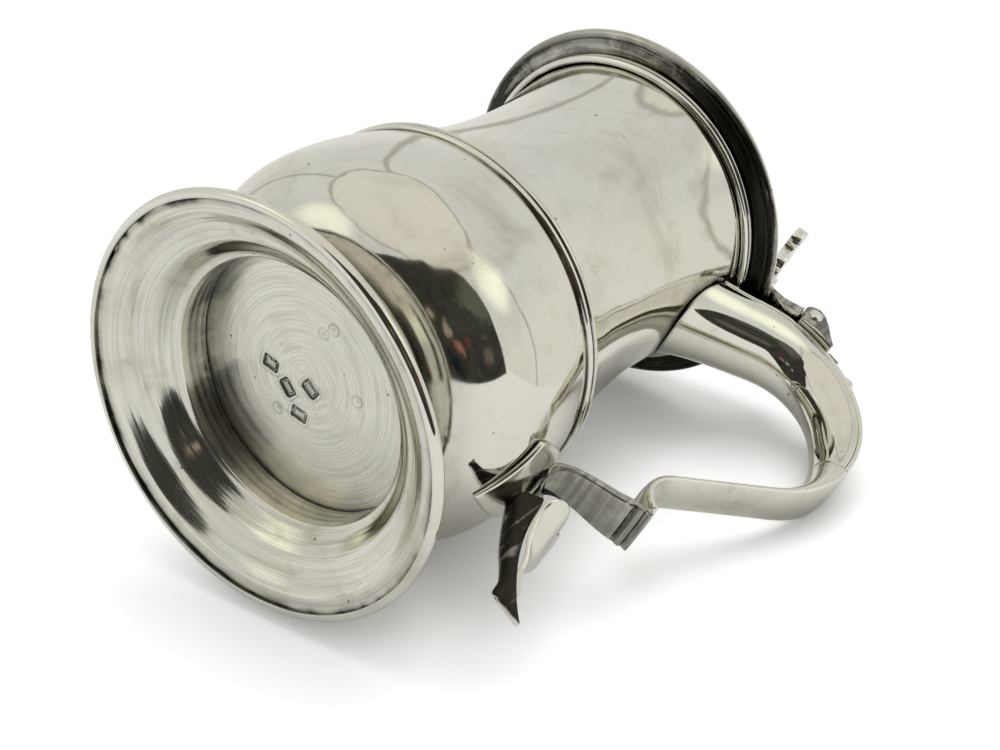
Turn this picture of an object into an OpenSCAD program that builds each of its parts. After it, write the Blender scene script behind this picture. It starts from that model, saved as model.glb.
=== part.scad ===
// Silver lidded tankard with a baluster body, a hollow scroll handle and a hinged domed lid.
// Sizes in millimetres. The foot rests on Z = 0, the body stands on the Z axis
// and the handle points along +X. The lid turns about a pin along Y.

/* [View] */

// Piece to draw, or all of them

/* [Body] */

// Underside of the body at its centre
base_z = 20; // [14:0.5:28]
// Radius of the sphere that the underside is dished to
base_dish_r = 400; // [200:10:800]
// Widest radius of the bulge
bulge_r = 54.2; // [46:0.1:62]
// Height of the widest part of the bulge
bulge_z = 46; // [38:0.5:56]
// Radius of the turn under the bulge
bulge_turn_r = 25.9; // [18:0.1:32]
// Body radius under the girdle band
girdle_body_r = 50.3; // [44:0.1:54]
// Height of the middle of the girdle band
girdle_z = 72.7; // [60:0.1:84]
// Body radius at the waist
waist_r = 41.4; // [34:0.1:48]
// Height of the waist
waist_z = 125.5; // [105:0.5:140]
// Body radius at the lip
lip_body_r = 44.9; // [38:0.1:52]
// Height of the lip
lip_z = 158.8; // [140:0.1:175]
// Thickness of the raised sheet
body_wall = 1; // [0.8:0.1:2]

/* [Foot] */

// Outer radius of the foot at the table
foot_r = 58; // [48:0.1:66]
// Outer radius of the collar under the body
collar_r = 38.4; // [32:0.1:42]
// Thickness of the collar
collar_wall = 2.2; // [1.2:0.1:3]
// Height where the flare leaves the collar
flare_z = 13; // [9:0.1:16]
// Radius of the hollow flare
flare_turn_r = 30; // [24:0.5:45]
// Sheet thickness of the foot
foot_wall = 1.3; // [1:0.1:2.4]
// Radius of the bead at the top of the flare
foot_bead_r = 1.5; // [0.8:0.1:2.2]
// Height of the foot wire
foot_wire_h = 3.2; // [2:0.1:5]
// Radial width of the foot wire
foot_wire_w = 2.4; // [1.8:0.1:4]

/* [Mouldings] */

// Outer radius of the girdle band
girdle_r = 52; // [46:0.1:58]
// Radius of each girdle reed
girdle_reed_r = 1; // [0.6:0.05:1.6]
// Outer radius of the lip moulding
lip_r = 46.5; // [40:0.1:52]
// Radius of each lip reed
lip_reed_r = 0.9; // [0.6:0.05:1.4]

/* [Lid] */

// Top of the lid dome
lid_top_z = 190; // [176:0.5:205]
// Radius where the dome starts
dome_r = 39.8; // [30:0.1:42]
// Radius of the raised step under the dome
step_r = 43.6; // [36:0.1:46]
// Height of the top of the step
step_z = 164.6; // [162:0.1:170]
// Rounding of the step
step_round = 2.6; // [1:0.1:3.5]
// Outer radius of the lid at its wire
lid_r = 53; // [46:0.1:60]
// Radial width of the lid wire
lid_wire_w = 2.6; // [1.6:0.1:4]
// Height of the lid wire
lid_wire_h = 2.8; // [2:0.1:4]
// Sheet thickness of the lid
lid_wall = 1.1; // [0.8:0.1:2]
// Depth of the bezel inside the mouth
bezel_drop = 4; // [2:0.1:8]
// Height of the bezel strip
bezel_h = 7.2; // [4:0.1:12]
// Thickness of the bezel strip
bezel_wall = 1.2; // [0.8:0.1:2]

/* [Hinge] */

// Distance of the hinge pin from the axis of the body
hinge_x = 64.7; // [58:0.1:72]
// Height of the hinge pin
hinge_z = 168.7; // [164:0.1:174]
// Radius of a knuckle
knuckle_r = 3.6; // [2.6:0.1:4.4]
// Width of the whole hinge
hinge_w = 27; // [18:0.5:34]
// Number of knuckles
knuckles = 5; // [3:2:7]
// Radius of the hinge pin
pin_r = 1.6; // [1:0.05:2]
// Height of a riveted pin head
pin_head_h = 1.1; // [0.6:0.1:1.6]
// Radius of the ball that the pin head is cut from
pin_head_ball_r = 2.6; // [2:0.1:3.4]
// Where the lid tongue starts on the flange
tongue_x = 46.8; // [45:0.1:49]
// Height of the lid tongue above the flange at its start
tongue_rise = 4; // [3:0.1:6]
// Distance from the pin back to the start of the handle leaf
leaf_back = 2.2; // [1.4:0.1:2.6]
// Where the handle leaf ends on the handle
leaf_end_x = 74.4; // [71:0.1:78]
// Angle of arc that the hinge drop covers on the handle
drop_angle = 7; // [4:0.5:12]
// Thickness of the hinge drop
drop_h = 1.6; // [0.8:0.1:2]
// Half width of the hinge drop
drop_half_w = 9; // [6:0.1:10]
// Angle from the crest of the handle to the crossbar
bar_angle = 22; // [16:0.5:32]
// Radius of the crossbar
bar_r = 2; // [0.8:0.1:2.4]
// Length of the crossbar
bar_w = 17; // [10:0.5:19]

/* [Thumbpiece] */

// Height of the thumbpiece along its slope
thumb_h = 37; // [22:0.5:40]
// Width over the lobes
thumb_w = 25; // [16:0.5:28]
// Thickness of the casting
thumb_t = 3; // [1.8:0.1:4]
// Lean of the thumbpiece towards the lid
thumb_lean = 15.5; // [0:0.5:24]
// Distance of its handle side from the body axis at the tongue
thumb_x = 51; // [49:0.1:55]

/* [Handle] */

// Where the handle line starts inside the body wall
handle_start = [32, 146.4];
// Slope of the handle where it leaves the body
root_slope = 30; // [20:0.5:45]
// Straight length from the start to the top bend
root_run = 27.7; // [20:0.1:36]
// Radius of the top bend along the back of the handle
bend_r = 32.5; // [26:0.1:40]
// Turn of the top bend
bend_turn = 157; // [140:0.5:170]
// Straight length of the lower strap
strap_run = 34.9; // [25:0.1:45]
// Radius of the turned out end of the strap
break_r = 9; // [6:0.1:14]
// Turn of the end of the strap
break_turn = 104.5; // [70:1:120]
// Handle width at the body
root_w = 26; // [18:0.5:30]
// Handle width at the crest
crest_w = 20.6; // [14:0.1:24]
// Handle width at the outermost point
outer_w = 16.8; // [10:0.1:20]
// Width of the lower strap
strap_w = 13; // [9:0.1:17]
// Width of the turned out end
break_w = 16.6; // [12:0.1:20]
// Handle depth at the body
root_d = 14.8; // [10:0.1:20]
// Handle depth at the crest
crest_d = 12.9; // [10:0.1:18]
// Handle depth at the outermost point
outer_d = 8.4; // [6:0.1:14]
// Thickness of the lower strap
strap_d = 2.4; // [1.8:0.1:4]
// Thickness of the flat back strip of the handle
back_t = 1.3; // [0.8:0.1:2]
// Sheet thickness of the hollow trough
trough_t = 1.3; // [0.8:0.1:2]
// Rise of the back strip at its middle
back_crown = 0.5; // [0:0.1:1.2]

/* [Lower scroll] */

// Start of the scroll line above the tail
scroll_start = [59.1, 46];
// Heading of the scroll line at its start
scroll_heading = 130; // [120:1:150]
// Radius and turn of the rise behind the tail
scroll_rise = [14, -30];
// Radius and turn of the loop at the body
scroll_loop = [7, -78];
// Radius and turn of the run out to the lip
scroll_run = [60, -10];
// Radius and turn of the lip
scroll_lip = [24, 28];
// Width of the scroll at the tail
scroll_tail_w = 9; // [6:0.1:13]
// Thickness of the scroll strap
scroll_d = 2.4; // [1.8:0.1:4]
// Thickness of the scroll strap before its lip
scroll_lip_d = 2.8; // [2:0.1:5]
// Rise of the strap off its line before the lip
scroll_lift = 2; // [0:0.1:3]
// Share of the thickness that the edges of the strap keep
scroll_edge = 0.8; // [0.4:0.05:0.95]
// Radius of the two grooves under the lip
groove_r = 0.75; // [0.3:0.05:1]
// Distance between the two grooves
groove_pitch = 2.9; // [2:0.1:4]

/* [Terminal] */

// Heading of the outer line of the tail at its top
tail_heading = 300; // [290:1:310]
// Radius and turn of the hollow under the scroll
tail_hollow = [12, -17];
// Radius of the long sweep of the tail
tail_sweep_r = 51; // [40:0.5:80]
// Turn of the long sweep
tail_sweep_turn = 41.4; // [32:0.1:50]
// Half width of the tail
tail_half_w = 3.8; // [2:0.1:6]
// Half width of the tip of the tail
hoof_half_w = 1.1; // [0.8:0.1:4]
// Depth of the tail under the scroll
tail_top_d = 9.6; // [7:0.1:12]
// Depth of the tail below the lozenge pad
tail_mid_d = 6; // [4:0.1:8]
// Depth of the tail at its thinnest
tail_low_d = 3.8; // [2.5:0.1:6]
// Depth of the hoof at the foot of the tail
hoof_d = 9; // [6:0.1:12]
// Height of the top of the heart plate
heart_top_z = 49.4; // [42:0.1:56]
// Thickness of the heart plate
heart_t = 1.3; // [0.8:0.1:2]
// Radius of each heart lobe
heart_lobe_r = 4.7; // [3:0.1:7]
// Distance of a lobe centre from the middle
heart_lobe_y = 4.5; // [2:0.1:6]
// Half width of the stem of the heart plate
heart_stem_half_w = 1.6; // [0.8:0.1:3]
// Length of the stem on the tail
heart_stem = 4; // [3:0.1:8]
// Distance from the tip of the tail to the end of the stem
heart_stem_back = 8; // [4:0.1:12]
// Radius of the bend where the plate leaves the tail
heart_bend_r = 12; // [5:0.1:16]
// Lean of the heart plate towards the body above the bend
heart_lean = 15; // [8:0.5:20]
// Radius of the heart plate above the bend
heart_sweep_r = 60; // [40:1:90]
// Lean of the heart plate at its top
heart_top_lean = 6; // [0:0.5:8]
// Twist of the heart plate across the handle at its middle
heart_twist = 29; // [0:0.5:35]
// Fall of the sides of the heart plate behind its middle
heart_bow = 4.2; // [0:0.1:6]
// Middle height of the lozenge pad
pad_z = 46.5; // [42:0.5:56]
// Half width of the lozenge pad
pad_half_w = 14.5; // [10:0.5:20]
// Half height of the lozenge pad
pad_half_h = 16; // [12:0.5:22]
// Turn of the lozenge pad round the body, off the line of the handle
pad_turn = -4; // [-10:0.5:10]
// Swell of each side of the lozenge
pad_swell = 1.5; // [0.5:0.1:3]
// Thickness of the lozenge pad
pad_t = 1.6; // [1:0.1:2.4]

/* [Fits] */

// Solder line between fixed pieces
seam = 0.1; // [0.05:0.01:0.15]
// Line between a rim wire and the sheet inside it
wire_seam = 0.25; // [0.1:0.05:0.4]
// Space between the lid and the body
lid_gap = 0.3; // [0.2:0.05:0.6]
// Space between neighbouring knuckles
knuckle_gap = 0.25; // [0.15:0.05:0.5]
// Running space of the lid knuckles on the pin
pin_gap = 0.05; // [0.02:0.01:0.1]
// Space of the fixed knuckles on the pin
pin_press = 0.02; // [0.01:0.01:0.05]
// Space around a knuckle in the facing leaf
slot_gap = 0.4; // [0.3:0.05:0.8]

/* [Hidden] */

$fn = 120;
round_fn = 180;
big = 400;

silver = [0.86, 0.86, 0.84];
silver_warm = [0.82, 0.80, 0.76];
silver_dark = [0.70, 0.70, 0.69];

// Radius of an arc from its chord half length along Z and its rise in radius
function arc_r(dz, dr) = (dz * dz + dr * dr) / (2 * dr);
// Centre of a circle of radius r through p and q, on the left of the line from p to q
function arc_centre(p, q, r) =
    let (m = (p + q) / 2, d = q - p, n = norm(d), k = sqrt(r * r - n * n / 4))
    m + k * [-d[1], d[0]] / n;

// The mouldings stand proud of the body by a reed at the least
girdle_out = max(girdle_r, girdle_body_r + girdle_reed_r);
lip_out = max(lip_r, lip_body_r + lip_reed_r);

foot_wire_in = foot_r - foot_wire_w;
flare_from = [collar_r + 0.1, flare_z];
flare_to = [foot_wire_in + 0.7, 2.3];
flare_centre = arc_centre(flare_from, flare_to, flare_turn_r);

flange_z = lip_z + lid_gap;
flange_top = flange_z + lid_wall;
lid_wire_in = lid_r - lid_wire_w;
lid_wire_z = flange_z + 0.5;
lid_wire_top = lid_wire_z + lid_wire_h;
dome_turn_r = arc_r(dome_r, lid_top_z - step_z);
dome_centre_z = lid_top_z - dome_turn_r;
bezel_r = step_r - lid_wall - seam;

knuckle_w = (hinge_w - (knuckles - 1) * knuckle_gap) / knuckles;
knuckle_pitch = knuckle_w + knuckle_gap;

// A step of a line in the handle plane is [length, 0] or [radius, turn], left turns positive
function step_at(p, h, st, u) =
    st[1] == 0
    ? [p + st[0] * u * [cos(h), sin(h)], h]
    : let (r = st[0] * sign(st[1]), k = h + st[1] * u)
      [p + r * [-sin(h), cos(h)] + r * [sin(k), -cos(k)], k];
function step_len(st) = st[1] == 0 ? st[0] : st[0] * abs(st[1]) * PI / 180;
function step_parts(st) = st[1] == 0 ? max(1, round(st[0] / 9)) : max(2, round(abs(st[1]) / 7));
// Frames along a line as [point, heading, distance]
function walk(p, h, steps, i = 0, s = 0) =
    i == len(steps)
    ? [[p, h, s]]
    : let (n = step_parts(steps[i]), e = step_at(p, h, steps[i], 1))
      concat([for (j = [0 : n - 1])
                 let (f = step_at(p, h, steps[i], j / n))
                 [f[0], f[1], s + step_len(steps[i]) * j / n]],
             walk(e[0], e[1], steps, i + 1, s + step_len(steps[i])));
function total(steps, i = 0) = i == len(steps) ? 0 : step_len(steps[i]) + total(steps, i + 1);
// Frames of a line between two distances
function between(frames, a, b) = [for (f = frames) if (f[2] > a - 0.01 && f[2] < b + 0.01) f];
// Point of a section, y across the handle and d into the handle from its line
function section_point(f, y, d) = [f[0][0] + d * sin(f[1]), y, f[0][1] - d * cos(f[1])];

cross = [for (a = [-90 : 15 : 90]) a];
function reversed(v) = [for (i = [len(v) - 1 : -1 : 0]) v[i]];

// Closed skin over rings whose first and second half face each other
module loft(rings) {
    n = len(rings[0]);
    m = len(rings);
    points = [for (r = rings) for (p = r) p];
    sides = [for (i = [0 : m - 2]) for (j = [0 : n - 1])
                let (a = i * n + j, b = i * n + (j + 1) % n)
                each [[a, b, b + n], [a, b + n, a + n]]];
    first = [for (j = [0 : n / 2 - 2]) [n - 1 - j, n - 2 - j, j + 1, j]];
    last = [for (f = first) [for (k = reversed(f)) k + (m - 1) * n]];
    polyhedron(points, concat(sides, first, last), convexity = 8);
}

handle_steps = [[root_run, 0], [bend_r, -root_slope], [bend_r, -85], [bend_r, root_slope + 85 - bend_turn],
                [strap_run, 0], [break_r, break_turn]];
handle_frames = walk(handle_start, root_slope, handle_steps);
crest_s = total([handle_steps[0], handle_steps[1]]);
join_s = crest_s + step_len(handle_steps[2]);
strap_s = join_s + step_len(handle_steps[3]);
break_s = strap_s + strap_run;
end_s = total(handle_steps);
bend_centre = handle_start + root_run * [cos(root_slope), sin(root_slope)]
              + bend_r * [sin(root_slope), -cos(root_slope)];

function handle_w(s) = lookup(s, [[0, root_w], [root_run, root_w - 1.4], [crest_s, crest_w],
                                  [join_s, outer_w], [strap_s, strap_w], [break_s, strap_w],
                                  [end_s, break_w]]);
function handle_d(s) = lookup(s, [[0, root_d], [crest_s, crest_d], [crest_s + 34, crest_d - 1.6],
                                  [join_s, outer_d], [join_s + 13, outer_d / 2 + 0.6],
                                  [strap_s, strap_d + 0.3], [break_s, strap_d], [end_s, strap_d]]);
// Rise of the back strip above the handle line at a width angle
function crown(a) = back_crown * cos(a) * cos(a);
edge_t = 0.9;

scroll_steps = [scroll_rise, scroll_loop, scroll_run, scroll_lip];
scroll_frames = walk(scroll_start, scroll_heading, scroll_steps);
scroll_len = total(scroll_steps);
function scroll_w(s) = lookup(s, [[0, scroll_tail_w], [scroll_len * 0.3, scroll_tail_w + 1],
                                  [scroll_len, break_w]]);
function scroll_t(s) = lookup(s / scroll_len, [[0, scroll_d], [0.3, scroll_d * 0.8], [0.85, scroll_lip_d],
                                               [1, scroll_lip_d * 0.8]]);
function scroll_up(s) = scroll_lift * lookup(s / scroll_len, [[0, 0], [0.12, 0.8], [0.3, 1.15],
                                                              [0.85, 1], [1, 0]]);

// Outer line of the tail, flush with the outside of the scroll strap
tail_from = scroll_start + scroll_d * [sin(scroll_heading), -cos(scroll_heading)];
tail_sweep = [tail_sweep_r, tail_sweep_turn];
tail_bend = step_at(tail_from, tail_heading, tail_hollow, 1);
tail_steps = concat([tail_hollow], [for (i = [1 : 6]) [tail_sweep_r, tail_sweep_turn / 6]]);
tail_frames = walk(tail_from, tail_heading, tail_steps);
tail_len = total(tail_steps);
hoof_s = tail_len * 0.7;
function tail_d(s) = lookup(s, [[0, tail_top_d], [tail_len * 0.3, tail_mid_d], [tail_len * 0.6, tail_low_d],
                                [hoof_s, tail_low_d], [tail_len, hoof_d]]);
function tail_w(s) = lookup(s, [[0, tail_half_w], [hoof_s, tail_half_w * 0.7], [tail_len, hoof_half_w]]);
// Share of the way from a square cut to the level cut of the hoof
function tail_skew(s) = lookup(s, [[hoof_s, 0], [tail_len, 1]]);

// Line of the heart plate, up from the end of its stem on the tail
stem_at = step_at(tail_bend[0], tail_bend[1], tail_sweep, 1 - heart_stem_back / step_len(tail_sweep));
stem_turn = heart_stem / (tail_sweep_r - seam) * 180 / PI;
heart_from = stem_at[0] + seam * [-sin(stem_at[1]), cos(stem_at[1])];
heart_heading = stem_at[1] - 180;
heart_bend = [heart_bend_r, 90 + heart_lean - heart_heading + stem_turn];
stem_top = step_at(heart_from, heart_heading, [tail_sweep_r - seam, -stem_turn], 1);
heart_free = step_at(stem_top[0], stem_top[1], heart_bend, 1);
heart_sweep = [heart_sweep_r, heart_top_lean - heart_lean];
heart_upper = step_at(heart_free[0], heart_free[1], heart_sweep, 1);
heart_run = (heart_top_z - heart_upper[0][1]) / cos(heart_top_lean);
heart_steps = [[tail_sweep_r - seam, -stem_turn], heart_bend, heart_sweep,
               [heart_run / 2, 0], [heart_run / 2, 0]];
free_s = heart_stem + step_len(heart_bend);
heart_len = total(heart_steps);
heart_half_w = heart_lobe_y + heart_lobe_r;
// Share of the twist and the bow that the plate has taken
function heart_turned(s) = lookup((s - free_s) / (heart_len - free_s), [[0, 0], [0.25, 1],
                                                                        [0.5, 0.95], [1, 0.25]]);
function heart_shift(y, s) = heart_turned(s) * (y * tan(heart_twist) - heart_bow * pow(y / heart_half_w, 2));

// Side of the body from an upright point r, z to radius r_to at z_to, shrunk by inset
module side_band(r, z, r_to, z_to, inset) {
    turn_r = arc_r(abs(z_to - z), max(abs(r_to - r), 0.01));
    out = sign(r_to - r);
    low = min(z, z_to);
    if (out > 0)
        difference() {
            translate([0, low]) square([r_to + 12, abs(z_to - z)]);
            translate([r + turn_r, z]) circle(r = turn_r + inset, $fn = 2 * round_fn);
        }
    else
        intersection() {
            translate([0, low]) square([r + 12, abs(z_to - z)]);
            translate([r - turn_r, z]) circle(r = turn_r - inset, $fn = 2 * round_fn);
        }
}

// Outline of the solid body, shrunk by inset
module body_region(inset = 0) {
    side_band(waist_r, waist_z, lip_body_r, lip_z, inset);
    side_band(waist_r, waist_z, girdle_body_r, girdle_z, inset);
    side_band(bulge_r, bulge_z, girdle_body_r, girdle_z, inset);
    intersection() {
        union() {
            translate([bulge_r - bulge_turn_r, bulge_z]) circle(r = bulge_turn_r - inset, $fn = round_fn);
            square([bulge_r - bulge_turn_r, bulge_z]);
        }
        translate([0, base_z + base_dish_r]) circle(r = base_dish_r - inset, $fn = 4 * round_fn);
        square([bulge_r + 12, bulge_z]);
    }
}

// Solid body with a solder line around it, for trimming the pieces that meet it
module body_trim(extra = 0) {
    rotate_extrude($fn = round_fn) body_region(-seam - extra);
}

module body_shell() {
    color(silver)
    rotate_extrude($fn = round_fn)
    difference() {
        body_region();
        body_region(body_wall);
        translate([-1, 0]) square([1, big]);
    }
}

module foot() {
    color(silver_dark)
    rotate_extrude($fn = round_fn)
    difference() {
        union() {
            intersection() {
                difference() {
                    translate(flare_centre) circle(r = flare_turn_r + foot_wall, $fn = round_fn);
                    translate(flare_centre) circle(r = flare_turn_r, $fn = round_fn);
                }
                translate([collar_r - collar_wall, 0])
                    square([foot_wire_in - wire_seam - collar_r + collar_wall, flare_z + 0.6]);
            }
            translate([collar_r - collar_wall, flare_z - 0.8])
                square([collar_wall, base_z + 4 - flare_z]);
            translate([collar_r, flare_z + foot_bead_r - 0.3]) circle(r = foot_bead_r, $fn = 48);
        }
        body_region(-seam);
        translate([0, base_z + 1.55]) square([collar_r - collar_wall + 0.5, 6]);
    }
}

// Section of a rim wire, square inside and half round outside
module wire_section(r, w, h) {
    half = h / 2;
    translate([r - w, 0]) square([w - half, h]);
    intersection() {
        translate([r - half, half]) circle(r = half, $fn = 60);
        translate([r - half, 0]) square([half, h]);
    }
}

module foot_wire() {
    color(silver) rotate_extrude($fn = round_fn) wire_section(foot_r, foot_wire_w, foot_wire_h);
}

// Ring of reeds on a body of radius body_r, from a top height downwards
module reeded_ring(r, body_r, reed, count, top) {
    back = body_r - 4;
    rotate_extrude($fn = round_fn)
    difference() {
        union() {
            for (i = [0 : count - 1])
                translate([r - reed, top - reed * (2 * i + 1)]) circle(r = reed, $fn = 48);
            translate([back, top - 2 * reed * count])
                square([r - reed / 2 - 0.3 - back, 2 * reed * count]);
        }
        body_region(-seam);
        square([back + 1, big]);
    }
}

module girdle_band() {
    color(silver) reeded_ring(girdle_out, girdle_body_r, girdle_reed_r, 2, girdle_z + 2 * girdle_reed_r);
}

module lip_moulding() {
    color(silver) reeded_ring(lip_out, lip_body_r, lip_reed_r, 2, lip_z);
}

// Space that the lip moulding needs above the handle root
module lip_trim() {
    translate([0, 0, lip_z - 4 * lip_reed_r - seam]) cylinder(r = lip_out + seam, h = big, $fn = round_fn);
}

module handle_trough() {
    d0 = back_t + seam;
    color(silver)
    difference() {
        loft([for (f = between(handle_frames, 0, join_s))
            let (a = handle_w(f[2]) / 2, d = handle_d(f[2]) - d0)
            concat([for (b = cross) section_point(f, (a - trough_t) * sin(b), d0 + (d - trough_t) * cos(b))],
                   [for (b = reversed(cross)) section_point(f, a * sin(b), d0 + d * cos(b))])]);
        body_trim();
        lip_trim();
    }
}

module handle_back() {
    color(silver)
    difference() {
        loft([for (f = between(handle_frames, 0, join_s))
            let (a = handle_w(f[2]) / 2)
            concat([for (b = cross) section_point(f, a * sin(b), -crown(b))],
                   [for (b = reversed(cross)) section_point(f, a * sin(b), back_t)])]);
        body_trim();
        lip_trim();
    }
}

module lower_strap() {
    frames = between(handle_frames, join_s, end_s);
    start = frames[0];
    lifted = concat([[start[0] + seam * [cos(start[1]), sin(start[1])], start[1], start[2]]],
                    [for (i = [1 : len(frames) - 1]) frames[i]]);
    color(silver_warm)
    loft([for (f = lifted)
        let (a = handle_w(f[2]) / 2, d = handle_d(f[2]))
        concat([for (b = cross) section_point(f, a * sin(b), -crown(b))],
               [for (b = reversed(cross)) section_point(f, a * sin(b), edge_t + (d - edge_t) * cos(b))])]);
}

// Everything under the level that the tail starts at
module tail_top_trim() {
    f = tail_frames[0];
    along = [cos(f[1]), sin(f[1])];
    across = [sin(f[1]), -cos(f[1])];
    p = f[0] - seam * along;
    rotate([90, 0, 0]) linear_extrude(4 * break_w, center = true)
        polygon([p - big * across, p + big * across, p + big * (across + along), p + big * (along - across)]);
}

module lower_scroll() {
    lip = scroll_frames[len(scroll_frames) - 1];
    color(silver_warm)
    difference() {
        loft([for (f = scroll_frames)
            let (a = scroll_w(f[2]) / 2, d = scroll_t(f[2]), up = scroll_up(f[2]))
            concat([for (b = cross) section_point(f, a * sin(b), -up)],
                   [for (b = reversed(cross))
                       section_point(f, a * sin(b), d * (scroll_edge + (1 - scroll_edge) * cos(b)) - up)])]);
        body_trim(pad_t + seam);
        tail_top_trim();
        for (back = [groove_pitch / 2, groove_pitch * 3 / 2])
            translate(section_point(lip, 0, scroll_t(scroll_len - back) - scroll_up(scroll_len - back))
                      - back * [cos(lip[1]), 0, sin(lip[1])])
                rotate([90, 0, 0]) cylinder(r = groove_r, h = 2 * break_w, center = true, $fn = 24);
    }
}

// Lozenge with swelling sides
module lozenge(a, b, swell) {
    side = norm([a, b]);
    r = arc_r(side / 2, swell);
    out = [b, a] / side;
    intersection_for (sx = [-1, 1], sy = [-1, 1]) {
        c = [a / 2, b / 2] + (swell - r) * out;
        translate([sx * c[0], sy * c[1]]) circle(r = r, $fn = 2 * round_fn);
    }
}

module lozenge_pad() {
    color(silver_warm)
    intersection() {
        difference() {
            body_trim(pad_t);
            body_trim();
        }
        rotate([0, 0, pad_turn]) translate([0, 0, pad_z]) rotate([90, 0, 90])
            linear_extrude(big) lozenge(pad_half_w, pad_half_h, pad_swell);
    }
}

module tail() {
    color(silver_dark)
    difference() {
        loft([for (f = tail_frames)
            let (d = tail_d(f[2]), k = tail_skew(f[2]), n = [sin(f[1]), -cos(f[1])],
                 g = (1 - k) * n + k * [-1, 0.12], t = g / norm(g))
            concat([for (b = cross) [f[0][0], tail_w(f[2]) * sin(b), f[0][1]]],
                   [for (b = reversed(cross))
                       let (e = edge_t + (d - edge_t) * cos(b))
                       [f[0][0] + e * t[0], tail_w(f[2]) * sin(b), f[0][1] + e * t[1]]])]);
        body_trim(pad_t + seam);
    }
}

module heart_outline() {
    for (s = [-1, 1])
        hull() {
            translate([s * heart_lobe_y, heart_top_z - heart_lobe_r]) circle(r = heart_lobe_r, $fn = 48);
            translate([-heart_stem_half_w, heart_free[0][1]]) square([2 * heart_stem_half_w, 1]);
        }
    translate([-heart_stem_half_w, 0]) square([2 * heart_stem_half_w, heart_free[0][1] + 1]);
}

module heart_plate() {
    across = [for (i = [-5 : 5]) i / 5 * (heart_half_w + 1)];
    color(silver)
    intersection() {
        loft([for (f = walk(heart_from, heart_heading, heart_steps))
            concat([for (y = across) section_point(f, y, 0) + [heart_shift(y, f[2]), 0, 0]],
                   [for (y = reversed(across))
                       section_point(f, y, heart_t) + [heart_shift(y, f[2]), 0, 0]])]);
        rotate([90, 0, 90]) linear_extrude(big) heart_outline();
    }
}

// Cylinders around the hinge line for the even or the odd knuckles
module knuckle_row(r, odd, extra = 0) {
    for (i = [odd : 2 : knuckles - 1])
        translate([hinge_x, -hinge_w / 2 + i * knuckle_pitch + knuckle_w / 2, hinge_z])
            rotate([90, 0, 0]) cylinder(r = r, h = knuckle_w + 2 * extra, center = true, $fn = 60);
}

module pin_bore(gap) {
    translate([hinge_x, 0, hinge_z]) rotate([90, 0, 0])
        cylinder(r = pin_r + gap, h = 2 * hinge_w, center = true, $fn = 48);
}

// Cylinder around the centre of the top bend of the handle
module bend_disc(r, w) {
    translate([bend_centre[0], 0, bend_centre[1]]) rotate([90, 0, 0])
        cylinder(r = r, h = w, center = true, $fn = 2 * round_fn);
}

module hinge_leaf() {
    color(silver)
    difference() {
        union() {
            rotate([90, 0, 0]) linear_extrude(hinge_w, center = true)
                polygon([[hinge_x - leaf_back, bend_centre[1] + bend_r - 6],
                         [hinge_x - leaf_back, hinge_z - leaf_back],
                         [hinge_x, hinge_z],
                         [hinge_x + 2.6, hinge_z + 2.4],
                         [hinge_x + 7, hinge_z - 0.8],
                         [leaf_end_x, hinge_z - 2.4],
                         [leaf_end_x, bend_centre[1] + bend_r - 6]]);
            knuckle_row(knuckle_r, 0);
        }
        knuckle_row(knuckle_r + slot_gap, 1, knuckle_gap);
        bend_disc(bend_r + back_crown + seam, 2 * hinge_w);
        pin_bore(pin_press);
        for (s = [-1, 1])
            translate([hinge_x + knuckle_r + 1, s * hinge_w / 2, hinge_z - 15])
                rotate([0, 0, -s * 16]) translate([0, s > 0 ? 0 : -12, 0]) cube([30, 12, 30]);
    }
}

module hinge_drop() {
    inner = bend_r + back_crown + seam;
    from = asin((leaf_end_x + seam - bend_centre[0]) / inner);
    color(silver)
    difference() {
        intersection() {
            difference() {
                bend_disc(inner + drop_h, 2 * drop_half_w);
                bend_disc(inner, 4 * drop_half_w);
            }
            translate([bend_centre[0], 0, bend_centre[1]]) rotate([90, 0, 0])
                linear_extrude(4 * drop_half_w, center = true)
                    polygon([[0, 0], big * [sin(from), cos(from)],
                             big * [sin(from + drop_angle), cos(from + drop_angle)]]);
        }
        translate([0, -big / 2, 0]) cube([leaf_end_x + seam, big, big]);
    }
}

module crossbar() {
    r = bend_r + back_crown + seam;
    color(silver)
    difference() {
        translate([bend_centre[0] + r * sin(bar_angle), 0, bend_centre[1] + r * cos(bar_angle)])
            rotate([90, 0, 0]) cylinder(r = bar_r, h = bar_w, center = true, $fn = 48);
        bend_disc(r, 2 * bar_w);
    }
}

module hinge_pin() {
    reach = hinge_w / 2 + seam;
    color(silver_dark)
    translate([hinge_x, 0, hinge_z]) {
        rotate([90, 0, 0]) cylinder(r = pin_r, h = 2 * reach + 0.4, center = true, $fn = 48);
        for (s = [-1, 1])
            intersection() {
                translate([0, s * (reach + pin_head_h - pin_head_ball_r), 0])
                    sphere(r = pin_head_ball_r, $fn = 48);
                translate([-5, s > 0 ? reach : -reach - 5, -5]) cube([10, 5, 10]);
            }
    }
}

// Outline of the raised part of the lid, shrunk by inset
module lid_region(inset = 0) {
    low = flange_z - 2;
    r = step_r - inset;
    z = step_z - inset;
    round_r = step_round - inset;
    translate([0, low]) square([r, step_z - step_round - low]);
    translate([0, low]) square([step_r - step_round, z - low]);
    translate([step_r - step_round, step_z - step_round]) circle(r = round_r, $fn = 60);
    intersection() {
        translate([0, dome_centre_z]) circle(r = dome_turn_r - inset, $fn = 2 * round_fn);
        translate([0, low]) square([60, 60]);
    }
}

module lid_dome() {
    color(silver)
    rotate_extrude($fn = round_fn)
    difference() {
        union() {
            lid_region();
            translate([0, flange_z]) square([lid_wire_in - wire_seam, lid_wall]);
        }
        lid_region(lid_wall);
        square([big, flange_z]);
        translate([-1, 0]) square([1, big]);
    }
}

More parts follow.
